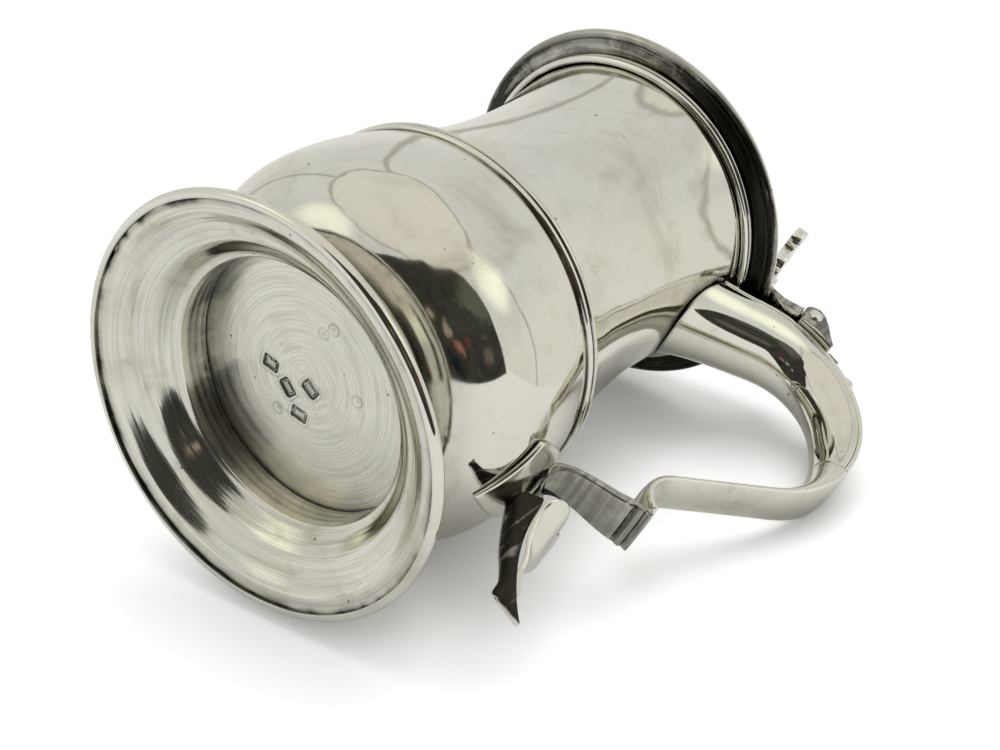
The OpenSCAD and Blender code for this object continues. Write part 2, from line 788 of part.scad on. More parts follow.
module lid_wire() {
    color(silver)
    translate([0, 0, lid_wire_z])
        rotate_extrude($fn = round_fn) wire_section(lid_r, lid_wire_w, lid_wire_h);
}

module lid_bezel() {
    color(silver_dark)
    translate([0, 0, flange_z - bezel_drop])
        rotate_extrude($fn = round_fn)
            translate([bezel_r - bezel_wall, 0]) square([bezel_wall, bezel_h]);
}

module lid_tongue() {
    low = flange_top + seam;
    color(silver)
    difference() {
        union() {
            rotate([90, 0, 0]) linear_extrude(hinge_w, center = true)
                polygon([[tongue_x, low],
                         [tongue_x, low + tongue_rise],
                         [hinge_x - 9.7, low + tongue_rise + 0.6],
                         [hinge_x - 4.7, hinge_z - 1.5],
                         [hinge_x - 1.6, hinge_z + 2],
                         [hinge_x - 1.6, hinge_z - 2.4],
                         [hinge_x - knuckle_r - 0.3, hinge_z - 4.4],
                         [hinge_x - 8, lid_wire_top + seam],
                         [hinge_x - 8, low]]);
            knuckle_row(knuckle_r, 1);
        }
        knuckle_row(knuckle_r + slot_gap, 0, knuckle_gap);
        pin_bore(pin_gap);
        translate([0, 0, low - 1])
            rotate_extrude($fn = round_fn)
                translate([lid_wire_in - seam, 0]) square([20, lid_wire_top + seam - low + 1]);
    }
}

// Pointed oval from two equal circles
module lens(r, apart) {
    intersection_for (t = [-1, 1])
        translate([t * apart, 0]) circle(r = r, $fn = 72);
}

// Front outline of the thumbpiece, standing on Y = 0
module thumb_outline() {
    lobe = thumb_w * 0.17;
    side = thumb_w / 2 - lobe;
    lobe_at = [lobe + 0.8, thumb_h / 2, thumb_h - lobe];
    difference() {
        union() {
            translate([-side, 0]) square([2 * side, thumb_h - lobe]);
            for (s = [-1, 1], v = lobe_at)
                translate([s * side, v]) circle(r = lobe, $fn = 48);
            translate([0, thumb_h - 2 * lobe]) circle(r = thumb_w * 0.3, $fn = 60);
        }
        translate([-thumb_w, -10]) square([2 * thumb_w, 10]);
        for (s = [-1, 1]) {
            for (v = [0.3, 0.66])
                translate([s * thumb_w * 0.16, thumb_h * v]) lens(lobe * 1.9, lobe * 1.4);
            for (v = [lobe_at[0], lobe_at[2]])
                translate([s * side, v]) circle(r = lobe * 0.36, $fn = 36);
        }
    }
}

module thumbpiece() {
    foot_z = flange_top + seam + tongue_rise + 0.6 + seam;
    color(silver)
    difference() {
        translate([thumb_x, 0, foot_z - 1])
            rotate([0, -thumb_lean, 0]) rotate([90, 0, -90])
                linear_extrude(thumb_t) thumb_outline();
        translate([0, -big / 2, 0]) cube([big, big, foot_z]);
    }
}

body_shell();
foot();
foot_wire();
girdle_band();
lip_moulding();
handle_trough();
handle_back();
lower_strap();
lower_scroll();
lozenge_pad();
tail();
heart_plate();
hinge_leaf();
hinge_drop();
crossbar();
hinge_pin();
lid_dome();
lid_wire();
lid_bezel();
lid_tongue();
thumbpiece();
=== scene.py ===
"""Looks of a silver lidded tankard that lies on its side on a white table.

Each CAD solid is shown by a finer mesh built from the same sizes, with rounded edges and the slight
unevenness of hand raised silver. Sizes are in millimetres until a mesh is made.
"""
from math import acos, asin, atan2, cos, degrees, hypot, pi, radians, sin, sqrt, tan

import bmesh
import bpy
import numpy as np
from mathutils import Euler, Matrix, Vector


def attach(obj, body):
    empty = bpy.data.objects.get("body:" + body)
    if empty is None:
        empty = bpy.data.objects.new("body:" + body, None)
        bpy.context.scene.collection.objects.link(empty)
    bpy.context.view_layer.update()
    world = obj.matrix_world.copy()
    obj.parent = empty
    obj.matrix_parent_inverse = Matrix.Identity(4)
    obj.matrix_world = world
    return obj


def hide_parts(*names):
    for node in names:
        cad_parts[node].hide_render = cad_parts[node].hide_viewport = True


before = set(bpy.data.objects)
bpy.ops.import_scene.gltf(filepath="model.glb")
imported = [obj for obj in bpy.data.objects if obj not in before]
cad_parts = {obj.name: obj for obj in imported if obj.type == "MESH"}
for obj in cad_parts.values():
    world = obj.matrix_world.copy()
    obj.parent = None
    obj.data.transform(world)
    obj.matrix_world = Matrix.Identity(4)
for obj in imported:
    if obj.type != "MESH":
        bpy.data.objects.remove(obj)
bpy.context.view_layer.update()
scene = bpy.context.scene
scene.view_settings.view_transform = "Standard"

MM = 0.001
SEGMENTS = 384

# Body and foot, as in the part's source
BASE_Z, BASE_DISH_R, BODY_WALL = 20.0, 400.0, 1.0
BULGE_R, BULGE_Z, BULGE_TURN_R = 54.2, 46.0, 25.9
GIRDLE_BODY_R, GIRDLE_Z, GIRDLE_R, GIRDLE_REED_R = 50.3, 72.7, 52.0, 1.0
WAIST_R, WAIST_Z = 41.4, 125.5
LIP_Z, LIP_R, LIP_REED_R = 158.8, 46.5, 0.9
FOOT_R, COLLAR_R, COLLAR_WALL, FLARE_Z, FLARE_TURN_R = 58.0, 38.4, 2.2, 13.0, 30.0
FOOT_WALL, FOOT_BEAD_R, FOOT_WIRE_W, FOOT_WIRE_H = 1.3, 1.5, 2.4, 3.2
SEAM, WIRE_LAP = 0.1, 0.3
FLARE_TOP, FLARE_FOOT = (COLLAR_R + 0.1, FLARE_Z), (FOOT_R - FOOT_WIRE_W + 0.7, 2.3)
COLLAR_IN_Z, COLLAR_OUT_Z, COLLAR_LEDGE, COLLAR_LOW_Z = BASE_Z + 1.55, BASE_Z + 2.0, 0.5, FLARE_Z - 0.8
BEAD_SINK, BEAD_HALF_TURN = 0.3, 75

# Lid
LID_TOP_Z, DOME_R, STEP_R, STEP_Z, STEP_ROUND = 190.0, 39.8, 43.6, 164.6, 2.6
LID_R, LID_WIRE_W, LID_WIRE_H, LID_WALL = 53.0, 2.6, 2.8, 1.1
FLANGE_Z, LID_WIRE_RISE = 159.1, 0.5
BEZEL_DROP, BEZEL_H, BEZEL_WALL = 4.0, 7.2, 1.2

# Handle
HANDLE_START, ROOT_SLOPE, ROOT_RUN = (32.0, 146.4), 30.0, 27.7
BEND_R, BEND_TURN, STRAP_RUN, BREAK_R, BREAK_TURN = 32.5, 157.0, 34.9, 9.0, 104.5
ROOT_W, CREST_W, OUTER_W, STRAP_W, BREAK_W = 26.0, 20.6, 16.8, 13.0, 16.6
ROOT_D, CREST_D, OUTER_D, STRAP_D = 14.8, 12.9, 8.4, 2.4
BACK_T, BACK_CROWN, EDGE_T, STRAP_EASE = 1.3, 0.5, 0.9, 6.0
ROOT_FLARE, ROOT_FLARE_RUN, ROOT_NARROWS = 3.8, 9.0, 1.4
JOIN_TURN, CREST_RUN, CREST_SHALLOWS, JOIN_RUN, JOIN_SPARE_D, STRAP_SPARE_D = 85.0, 34, 1.6, 13, 0.6, 0.3

# Lower scroll and terminal
SCROLL_START, SCROLL_HEADING, SCROLL_TAIL_W, SCROLL_D = (59.1, 46.0), 130.0, 9.0, 2.4
SCROLL_STEPS = [(14.0, -30.0), (7.0, -78.0), (60.0, -10.0), (24.0, 28.0)]
SCROLL_LIP_D, SCROLL_LIFT, SCROLL_EDGE, SCROLL_THIN = 2.8, 2.0, 0.8, 0.8
SCROLL_RISE, SCROLL_NECK, SCROLL_LIP = 0.12, 0.3, 0.85  # shares of its length
GROOVE_R, GROOVE_PITCH, GROOVES = 0.75, 2.9, (0.5, 1.5)
TAIL_HEADING, TAIL_STEPS = 300.0, [(12.0, -17.0), (51.0, 41.4)]
TAIL_TOP_D, TAIL_MID_D, TAIL_LOW_D, HOOF_D, TAIL_HALF_W, HOOF_HALF_W = 9.6, 6.0, 3.8, 9.0, 3.8, 1.1
TAIL_MID, TAIL_LOW, HOOF_START = 0.3, 0.6, 0.7  # shares of its length
TAIL_NARROWS, HOOF_WAY, PRESS_STEP, PRESS_TRIES = 0.7, (-1, 0.12), 0.1, 60
HEART_TOP_Z, HEART_T, HEART_LOBE_R, HEART_LOBE_Y, HEART_STEM_HALF_W = 49.4, 1.3, 4.5, 4.7, 1.6
HEART_STEM, HEART_STEM_BACK, HEART_BEND_R, HEART_LEAN = 4.0, 8.0, 12.0, 15.0
HEART_SWEEP_R, HEART_TOP_LEAN, HEART_TWIST, HEART_BOW = 60.0, 6.0, 29.0, 4.2
HEART_SPARE, HEART_MIDDLE_DROP = 20.0, 8.0
PAD_Z, PAD_HALF_W, PAD_HALF_H, PAD_TURN, PAD_SWELL, PAD_T = 46.5, 14.5, 16.0, -4.0, 1.5, 1.6


def arc_r(dz, dr):
    """Radius of an arc from half its chord along the axis and its rise."""
    return (dz * dz + dr * dr) / (2 * dr)


UPPER_TURN_R = arc_r(WAIST_Z - GIRDLE_Z, GIRDLE_BODY_R - WAIST_R)
BULGE_TOP_R = arc_r(GIRDLE_Z - BULGE_Z, BULGE_R - GIRDLE_BODY_R)
DOME_TURN_R = arc_r(DOME_R, LID_TOP_Z - STEP_Z)


def arc(centre, r, start, end):
    """Points on an arc about every half millimetre, angles in degrees."""
    count = max(4, int(abs(radians(end - start)) * r / 0.5))
    a = np.radians(np.linspace(start, end, count))
    return np.column_stack([centre[0] + r * np.cos(a), centre[1] + r * np.sin(a)])


def chord(r, off):
    """Half chord of a circle at a distance from its centre."""
    return np.sqrt(np.maximum(r ** 2 - off ** 2, 0))


def along(at, s, line):
    """Points at some distances on a line, from the distance of each of its points."""
    return np.column_stack([np.interp(at, s, column) for column in line.T])


def rounded(line, radius, fine=0.06):
    """A closed line resampled evenly with its corners rounded off."""
    loop = np.vstack([line, line[:1]])
    s = np.concatenate([[0], np.cumsum(np.hypot(*np.diff(loop, axis=0).T))])
    count = int(s[-1] / fine)
    even = along(np.linspace(0, s[-1], count, endpoint=False), s, loop)
    soft = np.exp(-2 * (np.pi * np.fft.fftfreq(count, s[-1] / count) * radius) ** 2)
    return np.fft.ifft(np.fft.fft(even, axis=0) * soft[:, None], axis=0).real


def thinned(line, coarse, turn=0.16, fine=0.12, reach=8):
    """Fewer points on an open line, close together where it bends."""
    step = np.diff(line, axis=0)
    length = np.hypot(*step.T)
    heading = np.arctan2(step[:, 1], step[:, 0])
    bend = np.abs((np.diff(heading, prepend=heading[0]) + np.pi) % (2 * np.pi) - np.pi)
    need = np.clip(bend / length / turn, 1 / coarse, 1 / fine)
    window = 2 * reach + 1
    need = np.convolve(np.pad(need, reach, mode="edge"), np.ones(window) / window, "valid")
    total = np.concatenate([[0], np.cumsum(need * length)])
    return along(np.linspace(0, total[-1], int(total[-1]) + 2), total, line)


def ring_profile(line, radius, coarse=0.8):
    """Profile of a ring: a closed line that stays off the axis."""
    even = rounded(np.asarray(line, float), radius)
    return thinned(np.vstack([even, even[:1]]), coarse)[:-1]


def bowl_profile(line, radius=0.3, coarse=2.0):
    """Profile of a bowl: an open line that starts and ends on the axis."""
    line = np.asarray(line, float)
    even = rounded(np.vstack([line, (line * [-1, 1])[::-1]]), radius)
    half = even[: len(even) // 2 + 1]
    half[0, 0] = half[-1, 0] = 0
    half[:, 0] = np.abs(half[:, 0])
    return thinned(half, coarse)


def waves(p, high, length, seed, count=14):
    """A smooth uneven field about that high, from waves in fixed random directions."""
    rng = np.random.default_rng(seed)
    out = np.zeros(p.shape[:-1])
    for _ in range(count):
        way = rng.normal(size=3)
        way *= 2 * np.pi / (length * rng.uniform(0.7, 1.8) * np.linalg.norm(way))
        out += np.sin(p @ way + rng.uniform(0, 2 * np.pi))
    return high * (out / sqrt(count / 2))


# Hammering: height, length and seed of the waves that push points outwards, and of those that lift them
HAMMER_OUT = [(0.10, 60, 1), (0.035, 22, 2), (0.010, 9, 4)]
HAMMER_UP = (0.10, 70, 3)
HAMMER_FADE_R = 12


def handmade(p):
    """Moves points as hammering left them: outwards, and up or down, by about a tenth of a millimetre."""
    r = np.linalg.norm(p[..., :2], axis=-1, keepdims=True)
    out = np.divide(p[..., :2], r, out=np.zeros_like(p[..., :2]), where=r > 1e-6)
    push = sum(waves(p, *each) for each in HAMMER_OUT)
    fade = np.clip(r[..., 0] / HAMMER_FADE_R, 0, 1)
    moved = p.copy()
    moved[..., :2] += out * (push * fade)[..., None]
    moved[..., 2] += waves(p, *HAMMER_UP)
    return moved


# Rings where pieces meet and dirt stays, as radius and height
SEAMS = [(FOOT_R - FOOT_WIRE_W, 0.6), (FOOT_R - FOOT_WIRE_W, 2.6), (COLLAR_R - COLLAR_WALL, BASE_Z + 1.2),
         (COLLAR_R + 0.3, FLARE_Z - 0.2), (COLLAR_R + 0.3, FLARE_Z + 3.0), (COLLAR_R, BASE_Z + 2.2),
         (GIRDLE_BODY_R + 0.5, GIRDLE_Z - 2.2), (GIRDLE_R - 0.8, GIRDLE_Z), (GIRDLE_BODY_R, GIRDLE_Z + 2.2),
         (LIP_R - 1.8, LIP_Z - 3.8), (LIP_R - 0.7, LIP_Z - 1.8), (LIP_R, LIP_Z + 0.2),
         (STEP_R, FLANGE_Z + 1.2), (LID_R - LID_WIRE_W, FLANGE_Z + 1.6)]
ON_BODY = ("lower_scroll", "tail", "handle_trough", "handle_back", "lozenge_pad")
HINGE_CHEEKS = ("hinge_leaf", "hinge_drop", "lid_tongue")

# Dirt and painted shade in each place: how strong it is, or that and how far it reaches in millimetres; the
# root, flange, cheek and tail entries and the wall's shade are painted shade
SEAM_SOIL, ROOT_SHADE, RIM_SOIL = (1.0, 0.5), (1.15, 1.9), (1.2, 1.3)
LOW_SOIL, LOW_SOIL_Z = (0.2, 4), BASE_Z + 3
MARK_SOIL, MARK_RIM_SOIL, DENT_SOIL = 0.4, (0.6, 0.3), (0.4, 0.25)
FLANGE_SHADE, FLANGE_LIT_SIDE = (1.7, 0.7), 0.55
CHEEK_SHADE, SCROLL_UNDERSIDE_DARK, TAIL_SHADE, HOLLOW_SOIL, EDGE_MOST = 0.8, 0.55, 1.3, 1.6, 1.5
WALL_SOIL_AND_SHADE, WALL_SHADE, WALL_RINGS, WALL_RING_RATE, RIM_WANDER = 0.28, 0.6, 0.24, 2.6, (0.6, 7, 6)


def hump(off, high, reach):
    """That high where off is zero, and next to nothing past twice the reach."""
    return high * np.exp(-(off / reach) ** 2)


def read(items, key, width, kind=float):
    """Values of a mesh's points or edges, a row for each."""
    values = np.empty(len(items) * width, kind)
    items.foreach_get(key, values)
    return values.reshape(-1, width)


def bend_at(mesh, p, normal):
    """How far the surface bends at each point: above zero on edges, below it in hollows."""
    a, b = read(mesh.edges, "vertices", 2, int).T
    way = p[b] - p[a]
    size = np.maximum((way ** 2).sum(1), 1e-6)
    bend, seen = np.zeros(len(p)), np.zeros(len(p))
    for here, sign in ((a, -2.0), (b, 2.0)):
        np.add.at(bend, here, sign * (way * normal[here]).sum(1) / size)
        np.add.at(seen, here, 1)
    return bend / np.maximum(seen, 1)


def under_lid(node, normal, r, z):
    """Whether points are on the underside of the lid's flange or wire."""
    if node == "lid_dome":
        return (z < FLANGE_Z + LID_WALL - 0.3) & (r > STEP_R)
    if node == "lid_wire":
        return (normal[:, 2] < -0.1) | ((r < LID_R - LID_WIRE_W + 0.5) & (z < FLANGE_Z + 1.2))
    return np.zeros(len(r), bool)


def flange_shade(p, r):
    """Painted shade under the lid's flange, less towards the rim and on the side where light reaches it."""
    lit_side = np.clip(-(p[:, 0] + p[:, 1]) / (sqrt(2) * np.maximum(r, 1)), 0, 1) ** 2
    return (1 - FLANGE_LIT_SIDE * lit_side) * np.interp(r, [LID_R - LID_WIRE_W + 0.6, LID_R], FLANGE_SHADE)


def body_soil_and_shade(p, r, z):
    """Dirt in the marks and dents of the base and on the body by the collar, and a painted dark reflection of
    the handle round its root.
    """
    off = from_marks(p[:, 0], p[:, 1])
    under = (r < MARKED_R) & (z < SOILED_BELOW)
    soil_and_shade = [under * (np.where(off < 0, MARK_SOIL, 0) + hump(off, *MARK_RIM_SOIL)),
            under * hump(from_dents(p[:, 0], p[:, 1]) - DENT_R, *DENT_SOIL),
            (r > COLLAR_R) * hump(z - LOW_SOIL_Z, *LOW_SOIL), hump(from_root(p), *ROOT_SHADE)]
    return np.max(soil_and_shade, axis=0)


def foot_soil_and_shade(p, r, z):
    """Dirt and painted shade in rings down the collar's wall, with more painted shade on one side, and dirt
    in a ragged line at the rim wire.
    """
    wall = (r < COLLAR_R - 1) * np.clip((z - FLARE_Z) / 2, 0, 1)
    shade = WALL_SOIL_AND_SHADE + WALL_SHADE * np.clip(-p[:, 0] / r, 0, 1)
    from_wire = FOOT_R - FOOT_WIRE_W - r + np.abs(waves(p, *RIM_WANDER))
    rings = WALL_RINGS * np.sin(z * WALL_RING_RATE)
    return np.maximum(wall * (shade + rings), hump(from_wire, *RIM_SOIL))


def finish_marks(obj, node):
    """Stores on each point its dirt and painted shade, how rubbed it is and how much turned it is."""
    mesh = obj.data
    p, normal = read(mesh.vertices, "co", 3) / MM, read(mesh.vertices, "normal", 3)
    r, z = np.hypot(p[:, 0], p[:, 1]), p[:, 2]
    near = np.min([np.hypot(r - a, z - b) for a, b in SEAMS], axis=0)
    if node in ON_BODY:
        near = np.minimum(near, np.abs(r - body_radius(z)))
    bend = bend_at(mesh, p, normal)
    below = under_lid(node, normal, r, z)
    # No rubbed edges under the lid, where the painted shade lies
    edge = np.where(below, 0, np.clip(bend, 0, EDGE_MOST))
    turned = np.zeros(len(p))
    soil_and_shade = [hump(near, *SEAM_SOIL), below * flange_shade(p, r), np.clip(-2.5 * bend - 0.3, 0, HOLLOW_SOIL)]
    if node in HINGE_CHEEKS:
        # Painted shade on the sides of the hinge pieces that look towards minus y
        soil_and_shade.append(np.clip(-1.3 * normal[:, 1] - 0.3, 0, CHEEK_SHADE))
    elif node == "lower_scroll":
        # Darker on the scroll's faces that do not point up the tankard
        soil_and_shade.append(np.clip(SCROLL_UNDERSIDE_DARK - normal[:, 2], 0, SCROLL_UNDERSIDE_DARK))
    elif node == "tail":
        # Painted shade and dark reflection on the tail's sides that look towards minus y
        soil_and_shade.append(np.clip(-4 * normal[:, 1], 0, TAIL_SHADE))
    elif node == "body_shell":
        soil_and_shade.append(body_soil_and_shade(p, r, z))
        turned = np.clip((COLLAR_R - r) / 1.5, 0, 1) * (z < BASE_Z + 4)
    elif node == "foot":
        soil_and_shade.append(foot_soil_and_shade(p, r, z))
        turned = np.clip(-3 * normal[:, 2], 0, 1)
    for name, values in (("soil_and_shade", np.max(soil_and_shade, axis=0)), ("edge", edge), ("turned", turned)):
        mesh.attributes.new(name, "FLOAT", "POINT").data.foreach_set("value", values.astype(np.float32))


def from_root(p):
    """Rough distance of points on the body from the outline of the handle's root."""
    slope = radians(ROOT_SLOPE)
    x, z = p[:, 0] - HANDLE_START[0], p[:, 2] - HANDLE_START[1]
    out = x * cos(slope) + z * sin(slope)
    depth = x * sin(slope) - z * cos(slope)
    wider = ROOT_FLARE * np.exp(-np.maximum(out, 0) / ROOT_FLARE_RUN)
    reach = np.hypot(p[:, 1] / (ROOT_W / 2 + wider), np.maximum(depth, 0) / (ROOT_D + wider))
    return np.where((p[:, 0] > 0) & (depth > 0), np.abs(reach - 1) * ROOT_W / 2, ROOT_W)


def linked(name, data):
    """A new object in the scene."""
    obj = bpy.data.objects.new(name, data)
    scene.collection.objects.link(obj)
    return obj


def write_smooth(bm, mesh):
    """Ends the work on a mesh, with all its faces smooth."""
    for face in bm.faces:
        face.smooth = True
    bm.to_mesh(mesh)
    bm.free()


def stand_for(obj, node, slot, body):
    """Gives a piece its material and marks, and lets it stand for a CAD node."""
    obj.data.materials.append(FINISH[slot])
    finish_marks(obj, node)
    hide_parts(node)
    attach(obj, body)


SKIN_WELD, SOLID_WELD = 1e-7, 1e-6  # metres, within which points become one


def piece(node, points, faces, slot, body="tankard"):
    """A smooth mesh that stands for a CAD node."""
    mesh = bpy.data.meshes.new(node + "_skin")
    mesh.from_pydata((np.asarray(points).reshape(-1, 3) * MM).tolist(), [], faces)
    obj = linked(node + "_skin", mesh)
    bm = bmesh.new()
    bm.from_mesh(mesh)
    bmesh.ops.remove_doubles(bm, verts=bm.verts, dist=SKIN_WELD)
    bmesh.ops.recalc_face_normals(bm, faces=bm.faces)
    write_smooth(bm, mesh)
    stand_for(obj, node, slot, body)
    return obj


def grid_faces(rows, columns, rows_close=False):
    """Quads over a grid of points whose columns close."""
    i = np.arange(rows if rows_close else rows - 1)
    i, j = [a.ravel() for a in np.meshgrid(i, np.arange(columns), indexing="ij")]
    next_i, next_j = (i + 1) % rows, (j + 1) % columns
    return np.column_stack([i * columns + j, i * columns + next_j,
                            next_i * columns + next_j, next_i * columns + j]).tolist()


def lathe(node, profile, slot="silver_polished", body="tankard", on_axis=False, shape=None):
    """A turned piece."""
    turn = np.linspace(0, 2 * np.pi, SEGMENTS, endpoint=False)
    r, z = profile.T
    points = np.stack([np.outer(r, np.cos(turn)), np.outer(r, np.sin(turn)),
                       np.outer(z, np.ones(SEGMENTS))], axis=-1)
    if shape:
        points = shape(points)
    piece(node, handmade(points), grid_faces(len(profile), SEGMENTS, not on_axis), slot, body)


def loft(node, rings, slot, on_body=False):
    """A skin over closed rings with a cap at each end, the first of them on the body or flat."""
    rows, columns = rings.shape[:2]
    faces = grid_faces(rows, columns)
    points = rings.reshape(-1, 3)
    for row in (0, rows - 1):
        middle = rings[row].mean(0)
        if on_body and row == 0:
            middle[:2] *= body_radius(middle[2]) / np.hypot(*middle[:2])
        points = np.vstack([points, middle])
        ring = row * columns + np.arange(columns)
        faces += [[int(a), int(b), len(points) - 1] for a, b in zip(ring, np.roll(ring, -1))]
    obj = piece(node, points, faces, slot)
    for face in obj.data.polygons:
        face.use_smooth = len(face.vertices) > 3


def bell(pad, step, soft):
    """Weights of a soft average that reaches pad points to each side."""
    weight = np.exp(-0.5 * (np.arange(-pad, pad + 1) * step / soft) ** 2)
    return weight / weight.sum()


def run(size, turn):
    """Length of a step: straight, or an arc of that radius."""
    return size if turn == 0 else size * abs(radians(turn))


def travel(start, heading, steps, soft=2.0, fine=0.25, pad=40):
    """Dense line in the handle plane from steps of (length, 0) or (radius, turn), with eased bends.
    Gives points, headings in radians and distances."""
    s, h = [0.0], [radians(heading)]
    for size, turn in steps:
        s.append(s[-1] + run(size, turn))
        h.append(h[-1] + radians(turn))
    at = np.linspace(0, s[-1], int(s[-1] / fine) + 1)
    step = at[1] - at[0]
    even = np.interp(at, s, h)
    before = even[0] + (even[1] - even[0]) * np.arange(-pad, 0)
    after = even[-1] + (even[-1] - even[-2]) * np.arange(1, pad + 1)
    even = np.convolve(np.concatenate([before, even, after]), bell(pad, step, soft), "valid")
    way = np.column_stack([np.cos(even), np.sin(even)])
    mid = (way[1:] + way[:-1]) / 2 * step
    return np.vstack([[0, 0], np.cumsum(mid, axis=0)]) + start, even, at


def eased(at, knots, soft=3.0):
    """Values along a line from (distance, value) knots, with eased corners."""
    s, v = np.array(knots).T
    step = at[1] - at[0]
    pad = int(3 * soft / step)
    even = np.pad(np.interp(at, s, v), pad, mode="edge")
    return np.convolve(even, bell(pad, step, soft), "valid")


ACROSS = np.radians(np.linspace(-90, 90, 41))
RING_POINTS = 72


def section(half, top, bottom):
    """Outline of (across, depth) points from a half width and the depths of its two faces."""
    across = half * np.sin(ACROSS)
    faces = [np.column_stack([across, np.broadcast_to(depth, across.shape)]) for depth in (top, bottom)]
    return np.vstack([faces[0], faces[1][::-1]])


def ring_points(outline, radius, fine):
    """Even points round an outline with its corners rounded off."""
    even = rounded(outline, radius, fine)
    return even[np.linspace(0, len(even), RING_POINTS, endpoint=False).astype(int)]


def sections(line, headings, outlines):
    """Rings along a line from one outline of (across, depth) points for each of its points."""
    rings = np.empty((len(line), RING_POINTS, 3))
    for i, (p, h, outline) in enumerate(zip(line, headings, outlines)):
        even = ring_points(outline, radius=0.3, fine=0.12)
        rings[i, :, 0] = p[0] + even[:, 1] * sin(h)
        rings[i, :, 1] = even[:, 0]
        rings[i, :, 2] = p[1] - even[:, 1] * cos(h)
    return rings


def body_radius(z):
    """Outer radius of the body at heights above its base."""
    z = np.asarray(z, float)
    low = BULGE_R - BULGE_TURN_R + chord(BULGE_TURN_R, z - BULGE_Z)
    mid = BULGE_R - BULGE_TOP_R + chord(BULGE_TOP_R, z - BULGE_Z)
    top = WAIST_R + UPPER_TURN_R - chord(UPPER_TURN_R, z - WAIST_Z)
    return np.where(z < BULGE_Z, low, np.where(z < GIRDLE_Z, mid, top))


def trimmed(rings, gap):
    """Rings slid along the line so that their first one lies on the body."""
    off = np.linalg.norm(rings[..., :2], axis=-1) - body_radius(rings[..., 2]) - gap
    rows = np.arange(len(rings))
    out = np.empty_like(rings)
    for j in range(rings.shape[1]):
        inside = np.nonzero(off[:, j] < 0)[0]
        start = 0.0
        if len(inside):
            i = inside[-1]
            start = i + off[i, j] / (off[i, j] - off[i + 1, j])
        at = start + (len(rings) - 1 - start) * rows / (len(rings) - 1)
        out[:, j] = along(at, rows, rings[:, j])
    return out


BASE_ROWS, MEET_TRIES = 80, 4000


def body_line(inset=0.0):
    """Line of the body from the middle of the base to the lip, moved into the metal by inset."""
    dish_c, dish_r = BASE_Z + BASE_DISH_R, BASE_DISH_R - inset
    turn_c, turn_r = BULGE_R - BULGE_TURN_R, BULGE_TURN_R - inset
    r = np.linspace(turn_c, turn_c + turn_r, MEET_TRIES)
    meet = r[np.argmax(BULGE_Z - chord(turn_r, r - turn_c) > dish_c - chord(dish_r, r))]
    flat = np.linspace(0, meet, BASE_ROWS)
    base = np.column_stack([flat, dish_c - chord(dish_r, flat)])
    top_r, neck_r = BULGE_TOP_R - inset, UPPER_TURN_R + inset
    return np.vstack([
        base,
        arc((turn_c, BULGE_Z), turn_r, degrees(asin((meet - turn_c) / turn_r)) - 90, 0),
        arc((BULGE_R - BULGE_TOP_R, BULGE_Z), top_r, 0, degrees(asin((GIRDLE_Z - BULGE_Z) / top_r))),
        arc((WAIST_R + UPPER_TURN_R, WAIST_Z), neck_r,
            180 + degrees(asin((WAIST_Z - GIRDLE_Z) / neck_r)),
            180 - degrees(asin((LIP_Z - WAIST_Z) / neck_r)))])


# Blank struck marks in the base as x, y and turn, and dents as x, y
MARK_HALF, MARK_ROUND, MARK_DEPTH, MARKED_R, MARKED_ROWS = (2.5, 1.8), 0.7, 0.4, 23.0, 100
MARKS = [(-11.5, 4.9, -13), (-4.1, 6.5, 24), (1.6, 0.9, 13), (2.2, 10.6, -14)]
MARK_SLOPE, MARK_FIELD, MARK_FIELD_IN, MARK_FIELD_SLOPE = 0.5, 0.25, 0.8, 0.4
BURR, BURR_OFF = (0.08, 0.3), 0.5
DENTS, DENT_R, DENT_DEPTH = [(-2.9, -16.2), (-1.0, -19.5), (14.1, -7.9), (-3.8, 14.6)], 1.6, 0.16
STRUCK_BELOW, SOILED_BELOW = BASE_Z + 0.95, BASE_Z + 0.97


def from_marks(x, y):
    """Distance of base points from the outline of the nearest mark, less than zero inside it."""
    offs = []
    for mark_x, mark_y, turn in MARKS:
        c, s = cos(radians(turn)), sin(radians(turn))
        u, v = (x - mark_x) * c + (y - mark_y) * s, (y - mark_y) * c - (x - mark_x) * s
        over = np.stack([np.abs(u) - MARK_HALF[0] + MARK_ROUND, np.abs(v) - MARK_HALF[1] + MARK_ROUND])
        offs.append(np.hypot(*np.maximum(over, 0)) + np.minimum(over.max(0), 0) - MARK_ROUND)
    return np.min(offs, axis=0)


def from_dents(x, y):
    """Distance of base points from the middle of the nearest dent."""
    return np.min([np.hypot(x - dent_x, y - dent_y) for dent_x, dent_y in DENTS], axis=0)


def struck(points):
    """Presses the blank marks and the dents into the underside of the base."""
    x, y, z = np.moveaxis(points, -1, 0)
    off = from_marks(x, y)
    depth = MARK_DEPTH * np.clip(0.5 - off / MARK_SLOPE, 0, 1) - hump(off - BURR_OFF, *BURR)
    depth -= MARK_FIELD * np.clip(-(off + MARK_FIELD_IN) / MARK_FIELD_SLOPE, 0, 1)
    depth += DENT_DEPTH * np.maximum(1 - (from_dents(x, y) / DENT_R) ** 2, 0) ** 2
    outside = (np.hypot(x, y) < MARKED_R + 2) & (z < STRUCK_BELOW)
    moved = points.copy()
    moved[..., 2] += np.where(outside, depth, 0)
    return moved


def body_shell():
    profile = bowl_profile(np.vstack([body_line(), body_line(BODY_WALL)[::-1]]), coarse=2.6)
    first = np.argmax(profile[:, 0] > MARKED_R)
    fine_r = np.linspace(0, MARKED_R, MARKED_ROWS, endpoint=False)
    fine = np.column_stack([fine_r, np.interp(fine_r, *profile[:first + 1].T)])
    profile = np.vstack([fine, profile[first:]])
    lathe("body_shell", profile, on_axis=True, shape=struck)


